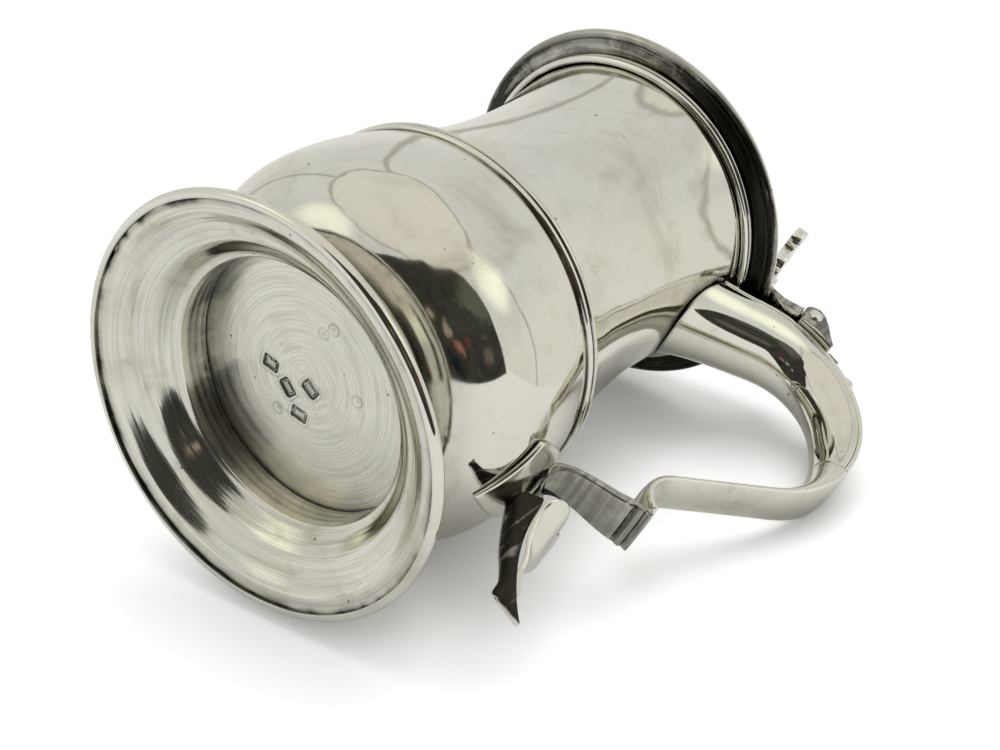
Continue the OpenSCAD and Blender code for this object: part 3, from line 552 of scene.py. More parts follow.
def flare_line(r):
    """Line of the flare as an arc of radius r, from the collar to the rim wire."""
    a, b = np.array(FLARE_TOP), np.array(FLARE_FOOT)
    d = b - a
    n = np.linalg.norm(d)
    centre = (a + b) / 2 + sqrt(FLARE_TURN_R ** 2 - n * n / 4) * np.array([-d[1], d[0]]) / n
    edge = FOOT_R - FOOT_WIRE_W + WIRE_LAP
    from_a = 180 + degrees(acos((centre[0] - COLLAR_R) / r))
    to_a = 180 + degrees(acos((centre[0] - edge) / r))
    return arc(centre, r, from_a, to_a)


SPIN_PITCH, SPIN_DEPTH, SHELF_R, SPIN_MARGIN, SPIN_FADE = 11.0, 0.5, 44.5, 1, 3
RAGGED_R, RAGGED_RUN, RAGGED = 53, 1.5, (0.006, 10, 5)


def spun(points):
    """A shelf halfway down the flare, and a ragged edge at the rim wire."""
    r = np.hypot(points[..., 0], points[..., 1])
    fade = np.clip((r - COLLAR_R - SPIN_MARGIN) / SPIN_FADE, 0, 1)
    fade *= np.clip((FOOT_R - FOOT_WIRE_W - SPIN_MARGIN - r) / SPIN_FADE, 0, 1)
    ragged = np.clip((r - RAGGED_R) / RAGGED_RUN, 0, 1) * np.maximum(waves(points, *RAGGED), 0)
    moved = points.copy()
    moved[..., :2] *= (1 - ragged)[..., None]
    moved[..., 2] += SPIN_DEPTH * fade * np.sin(2 * np.pi * (r - SHELF_R) / SPIN_PITCH)
    return moved


def foot():
    under = flare_line(FLARE_TURN_R + FOOT_WALL)
    over = flare_line(FLARE_TURN_R)
    inner = COLLAR_R - COLLAR_WALL
    bead = arc((COLLAR_R, FLARE_Z + FOOT_BEAD_R - BEAD_SINK), FOOT_BEAD_R, -BEAD_HALF_TURN, BEAD_HALF_TURN)
    line = np.vstack([[[inner, COLLAR_IN_Z], [inner, COLLAR_LOW_Z]], under, over[::-1], bead,
                      [[COLLAR_R, COLLAR_OUT_Z], [inner + COLLAR_LEDGE, COLLAR_IN_Z]]])
    lathe("foot", ring_profile(line, radius=0.35), "silver_turned", shape=spun)


def rim_wire(node, r, w, h, z, body="tankard"):
    """A wire round a rim, square inside and half round outside."""
    line = np.vstack([[[r - w, z]], arc((r - h / 2, z + h / 2), h / 2, -90, 90), [[r - w, z + h]]])
    lathe(node, ring_profile(line, radius=0.25), body=body)


def reeded(node, r, reed, top):
    """Two reeds round the body, from a top height downwards."""
    inner = float(body_radius(top - 2 * reed)) + SEAM
    line = np.vstack([[[inner, top - 4 * reed]],
                      arc((r - reed, top - 3 * reed), reed, -90, BEAD_HALF_TURN),
                      arc((r - reed, top - reed), reed, -BEAD_HALF_TURN, 90), [[inner, top]]])
    lathe(node, ring_profile(line, radius=0.12))


def lid_dome():
    def line(inset):
        dome_r = DOME_TURN_R - inset
        start = degrees(asin((STEP_Z - inset - LID_TOP_Z + DOME_TURN_R) / dome_r))
        return np.vstack([arc((0, LID_TOP_Z - DOME_TURN_R), dome_r, 90, start),
                          arc((STEP_R - STEP_ROUND, STEP_Z - STEP_ROUND), STEP_ROUND - inset, 90, 0)])

    edge = LID_R - LID_WIRE_W + WIRE_LAP
    inside = STEP_R - LID_WALL
    profile = bowl_profile(np.vstack([
        line(0), [[STEP_R, FLANGE_Z + LID_WALL], [edge, FLANGE_Z + LID_WALL], [edge, FLANGE_Z],
                  [inside, FLANGE_Z]], line(LID_WALL)[::-1]]), radius=0.4)
    lathe("lid_dome", profile, body="lid", on_axis=True)


def lid_bezel():
    r = STEP_R - LID_WALL - SEAM
    z = FLANGE_Z - BEZEL_DROP
    line = [[r - BEZEL_WALL, z], [r, z], [r, z + BEZEL_H], [r - BEZEL_WALL, z + BEZEL_H]]
    lathe("lid_bezel", ring_profile(line, radius=0.2), "silver_worn", "lid")


HANDLE_STEPS = [(ROOT_RUN, 0), (BEND_R, -ROOT_SLOPE), (BEND_R, -JOIN_TURN),
                (BEND_R, ROOT_SLOPE + JOIN_TURN - BEND_TURN), (STRAP_RUN, 0), (BREAK_R, BREAK_TURN)]


def handle_parts():
    """Trough, back strip and lower strap of the handle."""
    crest, join, strap, brk, end = np.cumsum([run(*step) for step in HANDLE_STEPS])[1:]
    line, heading, at = travel(HANDLE_START, ROOT_SLOPE, HANDLE_STEPS)
    flare = ROOT_FLARE * np.exp(-at / ROOT_FLARE_RUN)
    half = flare + eased(at, [
        (0, ROOT_W), (ROOT_RUN, ROOT_W - ROOT_NARROWS), (crest, CREST_W), (join, OUTER_W), (strap, STRAP_W),
        (brk, STRAP_W), (end, BREAK_W)]) / 2
    deep = flare + eased(at, [
        (0, ROOT_D), (crest, CREST_D), (crest + CREST_RUN, CREST_D - CREST_SHALLOWS), (join, OUTER_D),
        (join + JOIN_RUN, OUTER_D / 2 + JOIN_SPARE_D), (strap, STRAP_D + STRAP_SPARE_D), (brk, STRAP_D),
        (end, STRAP_D)])
    crown = -BACK_CROWN * np.cos(ACROSS) ** 2
    inner = BACK_T + SEAM
    last = int(np.argmax(at >= join))
    pick = np.arange(last % 3, last + 1, 3)
    trough = [section(half[i], inner, inner + (deep[i] - inner) * np.cos(ACROSS)) for i in pick]
    back = [section(half[i], crown, BACK_T) for i in pick]
    for node, outlines in (("handle_trough", trough), ("handle_back", back)):
        rings = trimmed(sections(line[pick], heading[pick], outlines), SEAM)
        loft(node, rings, "silver_polished", on_body=True)
    pick = np.arange(last, len(at), 2)
    edge = EDGE_T + (inner - EDGE_T) * np.exp(-(at - at[last]) / STRAP_EASE)
    solid = [section(half[i], crown, edge[i] + (deep[i] - edge[i]) * np.cos(ACROSS)) for i in pick]
    loft("lower_strap", sections(line[pick], heading[pick], solid), "silver_worn")


def lower_scroll():
    line, heading, at = travel(SCROLL_START, SCROLL_HEADING, SCROLL_STEPS, soft=1.0)
    long = at[-1]
    rise, neck, lip = long * SCROLL_RISE, long * SCROLL_NECK, long * SCROLL_LIP
    half = eased(at, [(0, SCROLL_TAIL_W), (neck, SCROLL_TAIL_W + 1), (long, BREAK_W)], 2) / 2
    deep = eased(at, [(0, SCROLL_D), (neck, SCROLL_D * SCROLL_THIN), (lip, SCROLL_LIP_D),
                      (long, SCROLL_LIP_D * SCROLL_THIN)], 1)
    lift = SCROLL_LIFT * eased(at, [(0, 0), (rise, 0.8), (neck, 1.15), (lip, 1), (long, 0)], 1)
    outlines = []
    for s, a, d, up in zip(at, half, deep, lift):
        from_groove = min(abs(s - long + back * GROOVE_PITCH) for back in GROOVES)
        groove = sqrt(max(0.0, GROOVE_R ** 2 - from_groove ** 2))
        under = (d - groove) * (SCROLL_EDGE + (1 - SCROLL_EDGE) * np.cos(ACROSS)) - up
        outlines.append(section(a, -up, under))
    rings = sections(line, heading, outlines)
    loft("lower_scroll", trimmed(rings, PAD_T + 2 * SEAM), "silver_worn")


def tail_path():
    """Outer line of the tail, flush with the outside of the scroll strap."""
    turn = radians(SCROLL_HEADING)
    start = np.array(SCROLL_START) + SCROLL_D * np.array([sin(turn), -cos(turn)])
    return travel(start, TAIL_HEADING, TAIL_STEPS, soft=1.0)


def tail():
    """Tail and hoof under the scroll, cut off at the lozenge pad."""
    line, heading, at = tail_path()
    long = at[-1]
    hoof = long * HOOF_START
    deep = eased(at, [(0, TAIL_TOP_D), (long * TAIL_MID, TAIL_MID_D), (long * TAIL_LOW, TAIL_LOW_D),
                      (hoof, TAIL_LOW_D), (long, HOOF_D)], 1)
    half = eased(at, [(0, TAIL_HALF_W), (hoof, TAIL_HALF_W * TAIL_NARROWS), (long, HOOF_HALF_W)], 1)
    skew = eased(at, [(hoof, 0), (long, 1)], 0.5)[:, None]
    out = (1 - skew) * np.column_stack([np.sin(heading), -np.cos(heading)]) + skew * np.array(HOOF_WAY)
    out /= np.linalg.norm(out, axis=1, keepdims=True)
    rings = np.empty((len(at), RING_POINTS, 3))
    for i in range(len(at)):
        outline = section(half[i], 0, EDGE_T + (deep[i] - EDGE_T) * np.cos(ACROSS))
        even = ring_points(outline, radius=0.25, fine=0.1)
        for _ in range(PRESS_TRIES):
            ring = np.column_stack([line[i, 0] + even[:, 1] * out[i, 0], even[:, 0],
                                    line[i, 1] + even[:, 1] * out[i, 1]])
            inside = np.linalg.norm(ring[:, :2], axis=1) < body_radius(ring[:, 2]) + PAD_T + 2 * SEAM
            even[:, 1] = np.where(inside, even[:, 1] - PRESS_STEP, even[:, 1])
        rings[i] = ring
    loft("tail", rings, "silver_worn")


def plate(node, outline, middle, thick, place, slot, edge=0.5, rows=40, edge_rows=8):
    """A thin plate with a rounded edge, from its outline of (across, up) points and its middle.
    place(across, up, lift) puts points in space."""
    even = rounded(np.asarray(outline, float), radius=0.25, fine=0.2)
    inward = middle - even
    reach = np.linalg.norm(inward, axis=1).mean()
    steps = np.concatenate([np.linspace(0, 1, rows)[:-1] * (1 - edge / reach),
                            1 - edge / reach * (1 - np.sin(np.linspace(0, np.pi / 2, edge_rows)))])
    rings = []
    for side, order in ((1, steps), (-1, steps[-2::-1])):
        for step in order:
            from_edge = np.clip((1 - step) * reach / edge, 0, 1)
            lift = thick / 2 * (1 + side * sqrt(max(0.0, 1 - (1 - from_edge) ** 2)))
            flat = middle - inward * step
            rings.append(place(flat[:, 0], flat[:, 1], lift))
    points = np.array(rings)
    piece(node, points, grid_faces(*points.shape[:2]), slot)


def heart_plate():
    """Twisted and bowed heart that stands up from its stem on the tail."""
    tail_line, tail_heading, tail_at = tail_path()
    stem = tail_at[-1] - HEART_STEM_BACK
    down = np.interp(stem, tail_at, tail_heading)
    start = along(stem, tail_at, tail_line)[0] + SEAM * np.array([-sin(down), cos(down)])
    heading = degrees(down) - 180
    stem_r = TAIL_STEPS[1][0] - SEAM
    stem_turn = degrees(HEART_STEM / stem_r)
    bend_turn = 90 + HEART_LEAN - heading + stem_turn
    steps = [(stem_r, -stem_turn), (HEART_BEND_R, bend_turn),
             (HEART_SWEEP_R, HEART_TOP_LEAN - HEART_LEAN), (HEART_SPARE, 0)]
    line, headings, at = travel(start, heading, steps, soft=0.8)
    free = HEART_STEM + HEART_BEND_R * radians(abs(bend_turn))
    free_z = np.interp(free, at, line[:, 1])
    top = np.interp(HEART_TOP_Z, line[:, 1], at)
    span = top - free
    turned = eased(at, [(free, 0), (free + span * 0.25, 1), (free + span * 0.5, 0.95), (top, 0.25)], 1)
    half_w = HEART_LOBE_Y + HEART_LOBE_R

    def place(y, z, lift):
        s = np.interp(z, line[:, 1], at)
        p, h = along(s, at, line), np.interp(s, at, headings)
        shift = y * tan(radians(HEART_TWIST)) - HEART_BOW * (y / half_w) ** 2
        shift *= np.interp(s, at, turned)
        return np.column_stack([p[:, 0] + lift * np.sin(h) + shift, y, p[:, 1] - lift * np.cos(h)])

    centre_z = HEART_TOP_Z - HEART_LOBE_R

    def touch(side):
        """Angle on the lobe where a line from one side of the stem touches it."""
        reach = np.array([HEART_LOBE_Y - side * HEART_STEM_HALF_W, centre_z - free_z])
        turn = asin(HEART_LOBE_R / np.linalg.norm(reach))
        return degrees(atan2(reach[1], reach[0]) - side * turn) - side * 90

    inner = touch(-1)
    lobe = arc((HEART_LOBE_Y, centre_z), HEART_LOBE_R, touch(1), inner)
    slope = tan(radians(inner - 90))
    notch = [[0, free_z + HEART_STEM_HALF_W * slope]]
    right = np.vstack([[[HEART_STEM_HALF_W, start[1]], [HEART_STEM_HALF_W, free_z]], lobe, notch])
    outline = np.vstack([right, (right * [-1, 1])[::-1]])
    middle = np.array([0, centre_z - HEART_MIDDLE_DROP])
    plate("heart_plate", outline, middle, HEART_T, place, "silver_polished")


def lozenge_pad():
    side = hypot(PAD_HALF_W, PAD_HALF_H)
    r = arc_r(side / 2, PAD_SWELL)
    lean = degrees(asin(side / 2 / r))
    out = np.array([PAD_HALF_H, PAD_HALF_W]) / side
    centre = np.array([PAD_HALF_W, PAD_HALF_H]) / 2 + (PAD_SWELL - r) * out
    face = degrees(atan2(out[1], out[0]))
    quarter = arc(centre, r, face - lean, face + lean)
    right = np.vstack([quarter, (quarter * [-1, 1])[::-1]])
    outline = np.vstack([right, -right])
    turn = radians(PAD_TURN)

    def place(y, z, lift):
        z = z + PAD_Z
        x = chord(body_radius(z) + SEAM + lift, y)
        return np.column_stack([x * cos(turn) - y * sin(turn), x * sin(turn) + y * cos(turn), z])

    plate("lozenge_pad", outline, np.zeros(2), PAD_T, place, "silver_worn", edge=0.7)


THUMB_BOW, THUMB_CURL, THUMB_CURL_FROM, THUMB_CUTS = 1.1, 0.9, 0.75, 36


def bowed(bm):
    """Bows a thumbpiece towards the lid and curls its top back."""
    low, high = [f(v.co.z for v in bm.verts) for f in (min, max)]
    for k in range(1, THUMB_CUTS):
        bmesh.ops.bisect_plane(bm, geom=bm.verts[:] + bm.edges[:] + bm.faces[:],
                               plane_co=(0, 0, low + (high - low) * k / THUMB_CUTS), plane_no=(0, 0, 1))
    for vert in bm.verts:
        up = (vert.co.z - low) / (high - low)
        curl = max(0.0, (up - THUMB_CURL_FROM) / (1 - THUMB_CURL_FROM)) ** 2
        vert.co.x += MM * (THUMB_CURL * curl - THUMB_BOW * sin(pi * up) ** 2)


FLAT_ANGLE, BEVEL_ANGLE, SHARP_ANGLE, BEVEL_STEPS = radians(1.0), radians(28), radians(40), 3


def softened(node, slot="silver_polished", body="tankard", width=0.35, shape=None):
    """A copy of a CAD solid with its edges rounded."""
    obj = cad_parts[node].copy()
    obj.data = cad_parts[node].data.copy()
    obj.name = obj.data.name = node + "_skin"
    obj.parent = None
    for key in [k for k in obj.keys() if k.startswith("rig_")]:
        del obj[key]
    scene.collection.objects.link(obj)
    bm = bmesh.new()
    bm.from_mesh(obj.data)
    bmesh.ops.remove_doubles(bm, verts=bm.verts, dist=SOLID_WELD)
    bmesh.ops.dissolve_limit(bm, angle_limit=FLAT_ANGLE, verts=bm.verts, edges=bm.edges)
    sharp = [e for e in bm.edges if len(e.link_faces) == 2 and e.calc_face_angle() > BEVEL_ANGLE]
    bmesh.ops.bevel(bm, geom=sharp, offset=width * MM, segments=BEVEL_STEPS, profile=0.5, affect="EDGES",
                    clamp_overlap=True)
    if shape:
        shape(bm)
    write_smooth(bm, obj.data)
    obj.data.set_sharp_from_angle(angle=SHARP_ANGLE)
    obj.data.materials.clear()
    stand_for(obj, node, slot, body)


class Nodes:
    """Short ways to add nodes to a node tree."""

    def __init__(self, owner):
        owner.use_nodes = True
        self.owner, self.tree = owner, owner.node_tree
        self.tree.nodes.clear()

    def add(self, kind, settings=None, **inputs):
        made = self.tree.nodes.new("ShaderNode" + kind)
        for key, value in (settings or {}).items():
            setattr(made, key, value)
        for key, value in inputs.items():
            self.put(made, key.replace("_", " "), value)
        return made

    def put(self, made, key, value):
        """Links or sets an input, by its name or by an i and its number."""
        by_number = key[0] == "i" and key[1:].isdigit()
        socket = made.inputs[int(key[1:]) if by_number else key]
        if isinstance(value, bpy.types.NodeSocket):
            self.tree.links.new(value, socket)
        else:
            socket.default_value = value

    def math(self, operation, a, b=0.0):
        return self.add("Math", {"operation": operation}, i0=a, i1=b).outputs[0]

    def times(self, a, b):
        return self.math("MULTIPLY", a, b)

    def plus(self, total, a, b):
        """The total and a times b."""
        return self.math("ADD", total, self.times(a, b))

    def smooth(self, value, low, high, to_low=0.0, to_high=1.0):
        return self.add("MapRange", {"interpolation_type": "SMOOTHSTEP"}, Value=value, From_Min=low,
                        From_Max=high, To_Min=to_low, To_Max=to_high).outputs[0]

    def blend(self, factor, a, b):
        return self.add("Mix", {"data_type": "RGBA"}, i0=factor, i6=a, i7=b).outputs[2]

    def noise(self, vector, scale, detail=3.0, rough=0.5, distort=0.0):
        return self.add("TexNoise", Vector=vector, Scale=scale, Detail=detail, Roughness=rough,
                        Distortion=distort).outputs["Fac"]

    def vector(self, operation, a, b=(0, 0, 0)):
        made = self.add("VectorMath", {"operation": operation}, i0=a, i1=b)
        return made.outputs["Value" if operation in ("LENGTH", "DOT_PRODUCT") else "Vector"]

    def bump(self, height, distance, normal):
        made = self.add("Bump", Height=height, Distance=distance)
        if normal:
            self.put(made, "Normal", normal)
        return made.outputs[0]

    def seen(self):
        """One for camera rays, and a share for mirror and glass rays."""
        path = self.add("LightPath").outputs
        mirror = self.math("MAXIMUM", path["Is Glossy Ray"], path["Is Transmission Ray"])
        return self.math("MAXIMUM", path["Is Camera Ray"], self.times(mirror, MIRROR_SHARE))

    def finish(self, shader, kind="Material"):
        out = self.add("Output" + kind)
        self.tree.links.new(shader.outputs[0], out.inputs["Surface"])


# Silver: its clean colour, rubbed edges, stains, dirt and painted shade, and turned faces, and how deep its
# marks are
CLEAN, BRIGHT = (0.79, 0.775, 0.69, 1), (0.88, 0.87, 0.80, 1)
STAIN, SOOT_AND_SHADE, LATHED = (0.48, 0.445, 0.345, 1), (0.040, 0.037, 0.029, 1), (0.61, 0.60, 0.52, 1)
HAIR_DEPTH, GRAIN_DEPTH, RING_DEPTH, DIRT_DEPTH = 2.5e-6, 2.0e-6, 1.4e-5, 8e-5  # metres
STAIN_ROUGH, DIRT_ROUGH, PIT_SCALE = 0.10, 0.14, 170.0


def silver(name, rough, patina, speckle, turned_rough=0.2, brushed=0.7, lathe_stain=0.2, ridge_depth=6e-5):
    """Silver with stains, dirt in its seams and painted shade as the points' marks give, rubbed edges,
    hairlines, and turning marks where turned.
    """
    n = Nodes(bpy.data.materials.new(name))
    place = n.add("TexCoord").outputs["Object"]
    soil_and_shade, edge, turned = [n.add("Attribute", {"attribute_name": name}).outputs["Fac"]
                          for name in ("soil_and_shade", "edge", "turned")]
    flat = n.vector("MULTIPLY", place, (1, 1, 0))
    round_way = n.vector("NORMALIZE", flat)
    radius = n.vector("LENGTH", flat)
    height = n.add("SeparateXYZ", i0=place).outputs[2]

    def streaks(upward, across, turns, detail=3.0):
        """Noise drawn out round the axis: by height on walls, by radius on turned faces."""
        lines = n.add("CombineXYZ", i0=n.times(radius, across), i2=n.times(height, upward)).outputs[0]
        where = n.vector("ADD", n.vector("MULTIPLY", round_way, (turns, turns, 0)), lines)
        return n.noise(where, scale=1.0, detail=detail, rough=0.6)

    cloud = n.noise(place, scale=28, detail=6, rough=0.62, distort=0.6)
    blotch = n.noise(place, scale=130, detail=5, rough=0.65, distort=0.4)
    grain = n.noise(place, scale=1500, detail=3, rough=0.6)
    rings = streaks(upward=0, across=2300, turns=1.1)
    ridges = streaks(upward=0, across=520, turns=0.8, detail=2)
    bands = streaks(upward=0, across=420, turns=1.3, detail=6)
    hairs = streaks(upward=2600, across=0, turns=9)

    stain = n.times(n.smooth(cloud, 0.5, 0.72), patina)
    stain = n.plus(stain, n.smooth(blotch, 0.52, 0.7), speckle)
    stain = n.plus(stain, n.smooth(bands, 0.5, 0.72), n.times(turned, lathe_stain))
    grime = n.plus(n.times(blotch, 0.35), bands, 0.65)
    dirt_and_shade = n.times(soil_and_shade, n.smooth(grime, 0.36, 0.58, 0.5, 1.1))
    pits = n.add("TexVoronoi", Vector=place, Scale=PIT_SCALE).outputs["Distance"]
    pits = n.times(n.smooth(pits, 0.03, 0.09, 0.8, 0.0), n.smooth(blotch, 0.5, 0.56))
    dirt_and_shade = n.math("MAXIMUM", dirt_and_shade, pits)
    colour = n.blend(n.times(turned, n.smooth(rings, 0.40, 0.62, 0.05, 0.85)), CLEAN, LATHED)
    colour = n.blend(stain, colour, STAIN)
    colour = n.blend(n.smooth(edge, 0.25, 1.2), colour, BRIGHT)
    # Near black for dirt and for painted shade alike
    colour = n.blend(dirt_and_shade, colour, SOOT_AND_SHADE)

    finish = n.plus(n.smooth(cloud, 0.35, 0.7, rough, rough * 1.7), stain, STAIN_ROUGH)
    finish = n.plus(finish, dirt_and_shade, DIRT_ROUGH)
    finish = n.plus(finish, turned, n.smooth(bands, 0.3, 0.7, 0.7 * turned_rough, 1.3 * turned_rough))

    normal = None
    for relief, depth in ((hairs, HAIR_DEPTH), (grain, GRAIN_DEPTH), (n.times(rings, turned), RING_DEPTH),
                          (n.times(ridges, turned), ridge_depth), (n.times(dirt_and_shade, grime), DIRT_DEPTH)):
        normal = n.bump(relief, depth, normal)

    tangent = n.add("Tangent", {"direction_type": "RADIAL", "axis": "Z"}).outputs[0]
    n.finish(n.add("BsdfPrincipled", Base_Color=colour, Metallic=1.0, Roughness=finish, Normal=normal,
                   Anisotropic=n.times(turned, brushed), Anisotropic_Rotation=0.25, Tangent=tangent))
    return n.owner


FINISH = {
    "silver_polished": silver(
        "polished_silver", rough=0.04, patina=0.5, speckle=0.2, turned_rough=0.22, lathe_stain=0.12),
    "silver_turned": silver(
        "turned_silver", rough=0.06, patina=0.45, speckle=0.4, turned_rough=0.05, brushed=0.35,
        lathe_stain=0.75, ridge_depth=1.3e-4),
    "silver_worn": silver("worn_silver", rough=0.15, patina=0.4, speckle=0.3)}

body_shell()
foot()
rim_wire("foot_wire", FOOT_R, FOOT_WIRE_W, FOOT_WIRE_H, 0)
reeded("girdle_band", GIRDLE_R, GIRDLE_REED_R, GIRDLE_Z + 2 * GIRDLE_REED_R)
reeded("lip_moulding", LIP_R, LIP_REED_R, LIP_Z)
lid_dome()
rim_wire("lid_wire", LID_R, LID_WIRE_W, LID_WIRE_H, FLANGE_Z + LID_WIRE_RISE, "lid")
lid_bezel()
handle_parts()
lower_scroll()
tail()
heart_plate()
lozenge_pad()
for node in ("hinge_leaf", "hinge_drop", "crossbar"):
    softened(node)
softened("hinge_pin", "silver_worn")
softened("lid_tongue", body="lid")
softened("thumbpiece", body="lid", width=0.6, shape=bowed)

# The table touches the foot and the lid on the side away from the camera
TABLE_UP = Vector((-0.488, -0.872, -0.031)).normalized()
TABLE_OFFSET = -0.0583
TABLE_MIDDLE = TABLE_UP * TABLE_OFFSET + Vector((0, 0, 0.1))
TABLE_HALF = 3.0
TABLE_ENDS = (0.165, 0.175)  # just past the lid, so that the lid can open
TABLE_COLOUR = (0.86, 0.86, 0.86, 1)
TABLE_GLOW, MIRROR_SHARE, CONTACT_REACH = (0.42, 0.42, 0.42, 1), 0.1, 0.03

CAMERA_PLACE = Vector((0.165, -0.42359, -0.37368))
CAMERA_TURN = (152.2711, -37.0018, -30.5998)
CAMERA_LENS, SENSOR_WIDTH, CLIP_START = 85.373, 36, 0.01

# Directions round the tankard: azimuth 0 is towards the camera, more is to the right in the picture, and
# heights are above the table
STUDIO_MIDDLE = Vector((0.0, 0.0, 0.09))
TO_CAMERA = CAMERA_PLACE - STUDIO_MIDDLE
FRONT = (TO_CAMERA - TO_CAMERA.dot(TABLE_UP) * TABLE_UP).normalized()
SIDE = TABLE_UP.cross(FRONT)


def way(azimuth, height):
    """Direction from an azimuth and a height in degrees."""
    a, h = radians(azimuth), radians(height)
    return cos(h) * (cos(a) * FRONT + sin(a) * SIDE) + sin(h) * TABLE_UP


def stage_mesh(name, points, faces, material):
    """A mesh of the studio, not of the tankard."""
    mesh = bpy.data.meshes.new(name)
    mesh.from_pydata([tuple(p) for p in points], [], faces)
    mesh.materials.append(material)
    obj = linked(name, mesh)
    return obj


def table():
    """White table, seen from its upper side only, that ends past the lid."""
    n = Nodes(bpy.data.materials.new("table_white"))
    white = n.add("BsdfDiffuse", Color=TABLE_COLOUR)
    # The glow fades where the tankard is close: a painted contact shadow on the table
    open_share = n.add("AmbientOcclusion", Distance=CONTACT_REACH).outputs["AO"]
    glow = n.add("Emission", Color=TABLE_GLOW, Strength=n.times(n.seen(), open_share))
    upper = n.add("AddShader", i0=white.outputs[0], i1=glow.outputs[0])
    here = n.add("NewGeometry").outputs
    past = n.smooth(n.add("SeparateXYZ", i0=here["Position"]).outputs[2], *TABLE_ENDS)
    clear = n.add("BsdfTransparent")
    n.finish(n.add("MixShader", i0=n.math("MAXIMUM", here["Backfacing"], past),
                   i1=upper.outputs[0], i2=clear.outputs[0]))
    ways = ((-1, -1), (-1, 1), (1, 1), (1, -1))
    corners = [TABLE_MIDDLE + TABLE_HALF * (a * SIDE + b * FRONT) for a, b in ways]
    obj = stage_mesh("table", corners, [(0, 1, 2, 3)], n.owner)
    if obj.data.polygons[0].normal.dot(TABLE_UP) < 0:
        obj.data.flip_normals()


# Light tent: warm cloth above, cooler cloth at the sides with sewn edges, a lamp behind each side
TENT_R = 2.6
TENT_TOP, TENT_SIDE, TENT_LOW = (0.78, 0.755, 0.70, 1), (0.74, 0.742, 0.735, 1), (0.80, 0.79, 0.76, 1)
TENT_SEAM, TENT_SEAMS, TENT_EDGE = (0.40, 0.39, 0.36, 1), (-136, 94, 178), 50
TENT_WOBBLE, TENT_FOLD_DARK = 0.22, 0.22
SEWN_EDGE, SEWN_SEAM, SEWN_DARK = (0.004, 0.03), (0.004, 0.028), 0.8
LAMP_COLOUR, LAMP_AZIMUTH, LAMP_HEIGHT, LAMP_SPREAD = (1.18, 1.19, 1.03, 1), 79, 35, 19


def outward(n):
    """Place of a point of the studio, and its direction from the middle."""
    place = n.add("NewGeometry").outputs["Position"]
    return place, n.vector("NORMALIZE", n.vector("SUBTRACT", place, STUDIO_MIDDLE))


def tent():
    """Cloth all round that shows in the metal alone; the camera looks in through it."""
    n = Nodes(bpy.data.materials.new("tent_cloth"))
    out = outward(n)[1]
    height = n.math("ARCSINE", n.vector("DOT_PRODUCT", out, TABLE_UP))
    wobble = n.times(n.math("SUBTRACT", n.noise(out, scale=3.0), 0.5), TENT_WOBBLE)
    over = n.math("ADD", n.math("SUBTRACT", height, radians(TENT_EDGE)), wobble)
    fold = n.noise(out, scale=2.2, detail=4, rough=0.55, distort=0.5)
    colour = n.blend(n.smooth(over, -0.03, 0.05), TENT_SIDE, TENT_TOP)
    colour = n.blend(n.smooth(n.math("ADD", height, wobble), 0.02, 0.30), TENT_LOW, colour)
    colour = n.blend(n.smooth(fold, 0.45, 0.75, 0.0, TENT_FOLD_DARK), colour, TENT_SEAM)
    sewn = n.smooth(n.math("ABSOLUTE", over), *SEWN_EDGE, SEWN_DARK, 0.0)
    for azimuth in TENT_SEAMS:
        off = n.plus(n.vector("DOT_PRODUCT", out, way(azimuth + 90, 0)), wobble, 0.4)
        line = n.smooth(n.math("ABSOLUTE", off), *SEWN_SEAM, SEWN_DARK, 0.0)
        line = n.times(line, n.math("GREATER_THAN", n.vector("DOT_PRODUCT", out, way(azimuth, 0)), 0.0))
        sewn = n.math("MAXIMUM", sewn, n.times(line, n.math("LESS_THAN", over, 0.0)))
    colour = n.blend(sewn, colour, TENT_SEAM)
    for side in (-1, 1):
        near = n.vector("DOT_PRODUCT", out, way(side * LAMP_AZIMUTH, LAMP_HEIGHT))
        colour = n.blend(n.smooth(near, cos(radians(LAMP_SPREAD)), 1), colour, LAMP_COLOUR)
    n.finish(n.add("Emission", Color=colour))
    rows, columns = 24, 48
    points = [STUDIO_MIDDLE + TENT_R * way(360 * j / columns, 180 * i / rows - 90)
              for i in range(rows + 1) for j in range(columns)]
    obj = stage_mesh("tent", points, grid_faces(rows + 1, columns), n.owner)
    obj.visible_camera = obj.visible_diffuse = obj.visible_shadow = False


# Dark front of the tent, where the camera looks in: its middle and corners as azimuth and height, and spots
# in it as azimuth, height, size as a share of the distance and colour
FRONT_R, FRONT_MIDDLE = 0.75, (3, 24)
FRONT_CORNERS = [(-47, -3), (-47, 35), (-37, 41), (-20, 47), (-3, 53), (12, 51), (34, 52), (44, 47), (50, 38),
                 (51, 20), (52, -3)]
FRONT_COLOUR, FRONT_GREY = (0.030, 0.029, 0.025, 1), (0.12, 0.12, 0.10, 1)
FRONT_SPOTS = [(42, 35, 0.30, FRONT_GREY), (-10, 23, 0.05, (0.55, 0.48, 0.36, 1)),
               (2, 19, 0.085, (0.33, 0.29, 0.22, 1)), (11, 12, 0.08, (0.36, 0.16, 0.13, 1)),
               (20, 15, 0.07, (0.13, 0.045, 0.035, 1)), (4, 3, 0.12, (0.006, 0.012, 0.017, 1)),
               (36, 8, 0.11, (0.13, 0.115, 0.09, 1))]


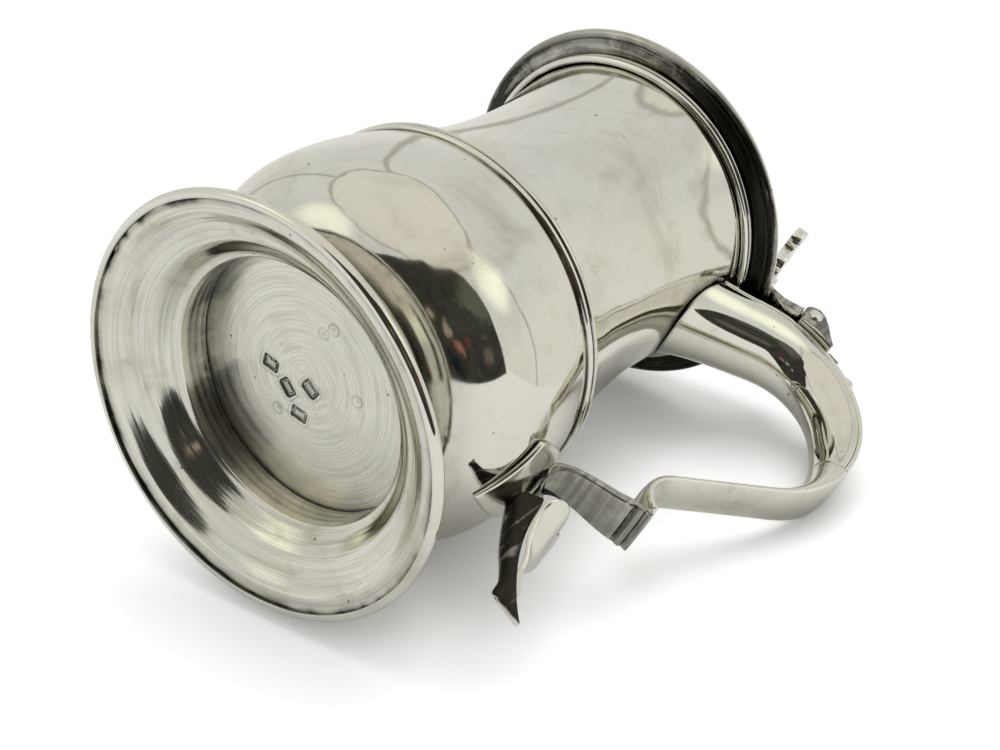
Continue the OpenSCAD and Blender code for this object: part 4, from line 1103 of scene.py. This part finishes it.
def dark_front():
    """Dark cloth with blurred shapes in it that shows in the metal alone."""
    n = Nodes(bpy.data.materials.new("dark_front"))
    place, out = outward(n)
    uneven = n.noise(place, scale=16, detail=4, rough=0.6)
    colour = n.blend(n.smooth(uneven, 0.35, 0.8, 0.0, 0.35), FRONT_COLOUR, FRONT_GREY)
    for azimuth, height, size, tint in FRONT_SPOTS:
        off = n.vector("LENGTH", n.vector("SUBTRACT", out, way(azimuth, height)))
        off = n.times(off, n.smooth(uneven, 0.3, 0.7, 0.6, 1.5))
        colour = n.blend(n.smooth(off, 0.4 * size, size, 0.9, 0.0), colour, tint)
    n.finish(n.add("Emission", Color=colour))
    points = [STUDIO_MIDDLE + FRONT_R * way(*corner) for corner in FRONT_CORNERS + [FRONT_MIDDLE]]
    last = len(FRONT_CORNERS)
    obj = stage_mesh("dark_front", points, [(i, (i + 1) % last, last) for i in range(last)], n.owner)
    obj.visible_camera = obj.visible_diffuse = obj.visible_shadow = obj.visible_transmission = False


SUN_FROM, SUN_ANGLE, SUN_POWER = (150, 77), 55, 1.4


def lamp_above():
    """Wide soft lamp over the table; the tent stands for it in the metal."""
    data = bpy.data.lights.new("lamp_above", "SUN")
    data.energy = SUN_POWER
    data.angle = radians(SUN_ANGLE)
    obj = linked("lamp_above", data)
    obj.rotation_euler = way(*SUN_FROM).to_track_quat("Z", "Y").to_euler()
    obj.visible_glossy = False


WORLD_FILL = 0.52


def studio_world():
    scene.world = bpy.data.worlds.new("studio")
    n = Nodes(scene.world)
    strength = n.smooth(n.seen(), 0, 1, WORLD_FILL, 1.0)
    n.finish(n.add("Background", Color=(1, 1, 1, 1), Strength=strength), "World")


def camera():
    data = bpy.data.cameras.new("camera")
    data.lens = CAMERA_LENS
    data.sensor_width = SENSOR_WIDTH
    data.clip_start = CLIP_START
    obj = linked("camera", data)
    obj.location = CAMERA_PLACE
    obj.rotation_euler = Euler([radians(a) for a in CAMERA_TURN], "XYZ")
    scene.camera = obj


table()
tent()
dark_front()
lamp_above()
studio_world()
camera()
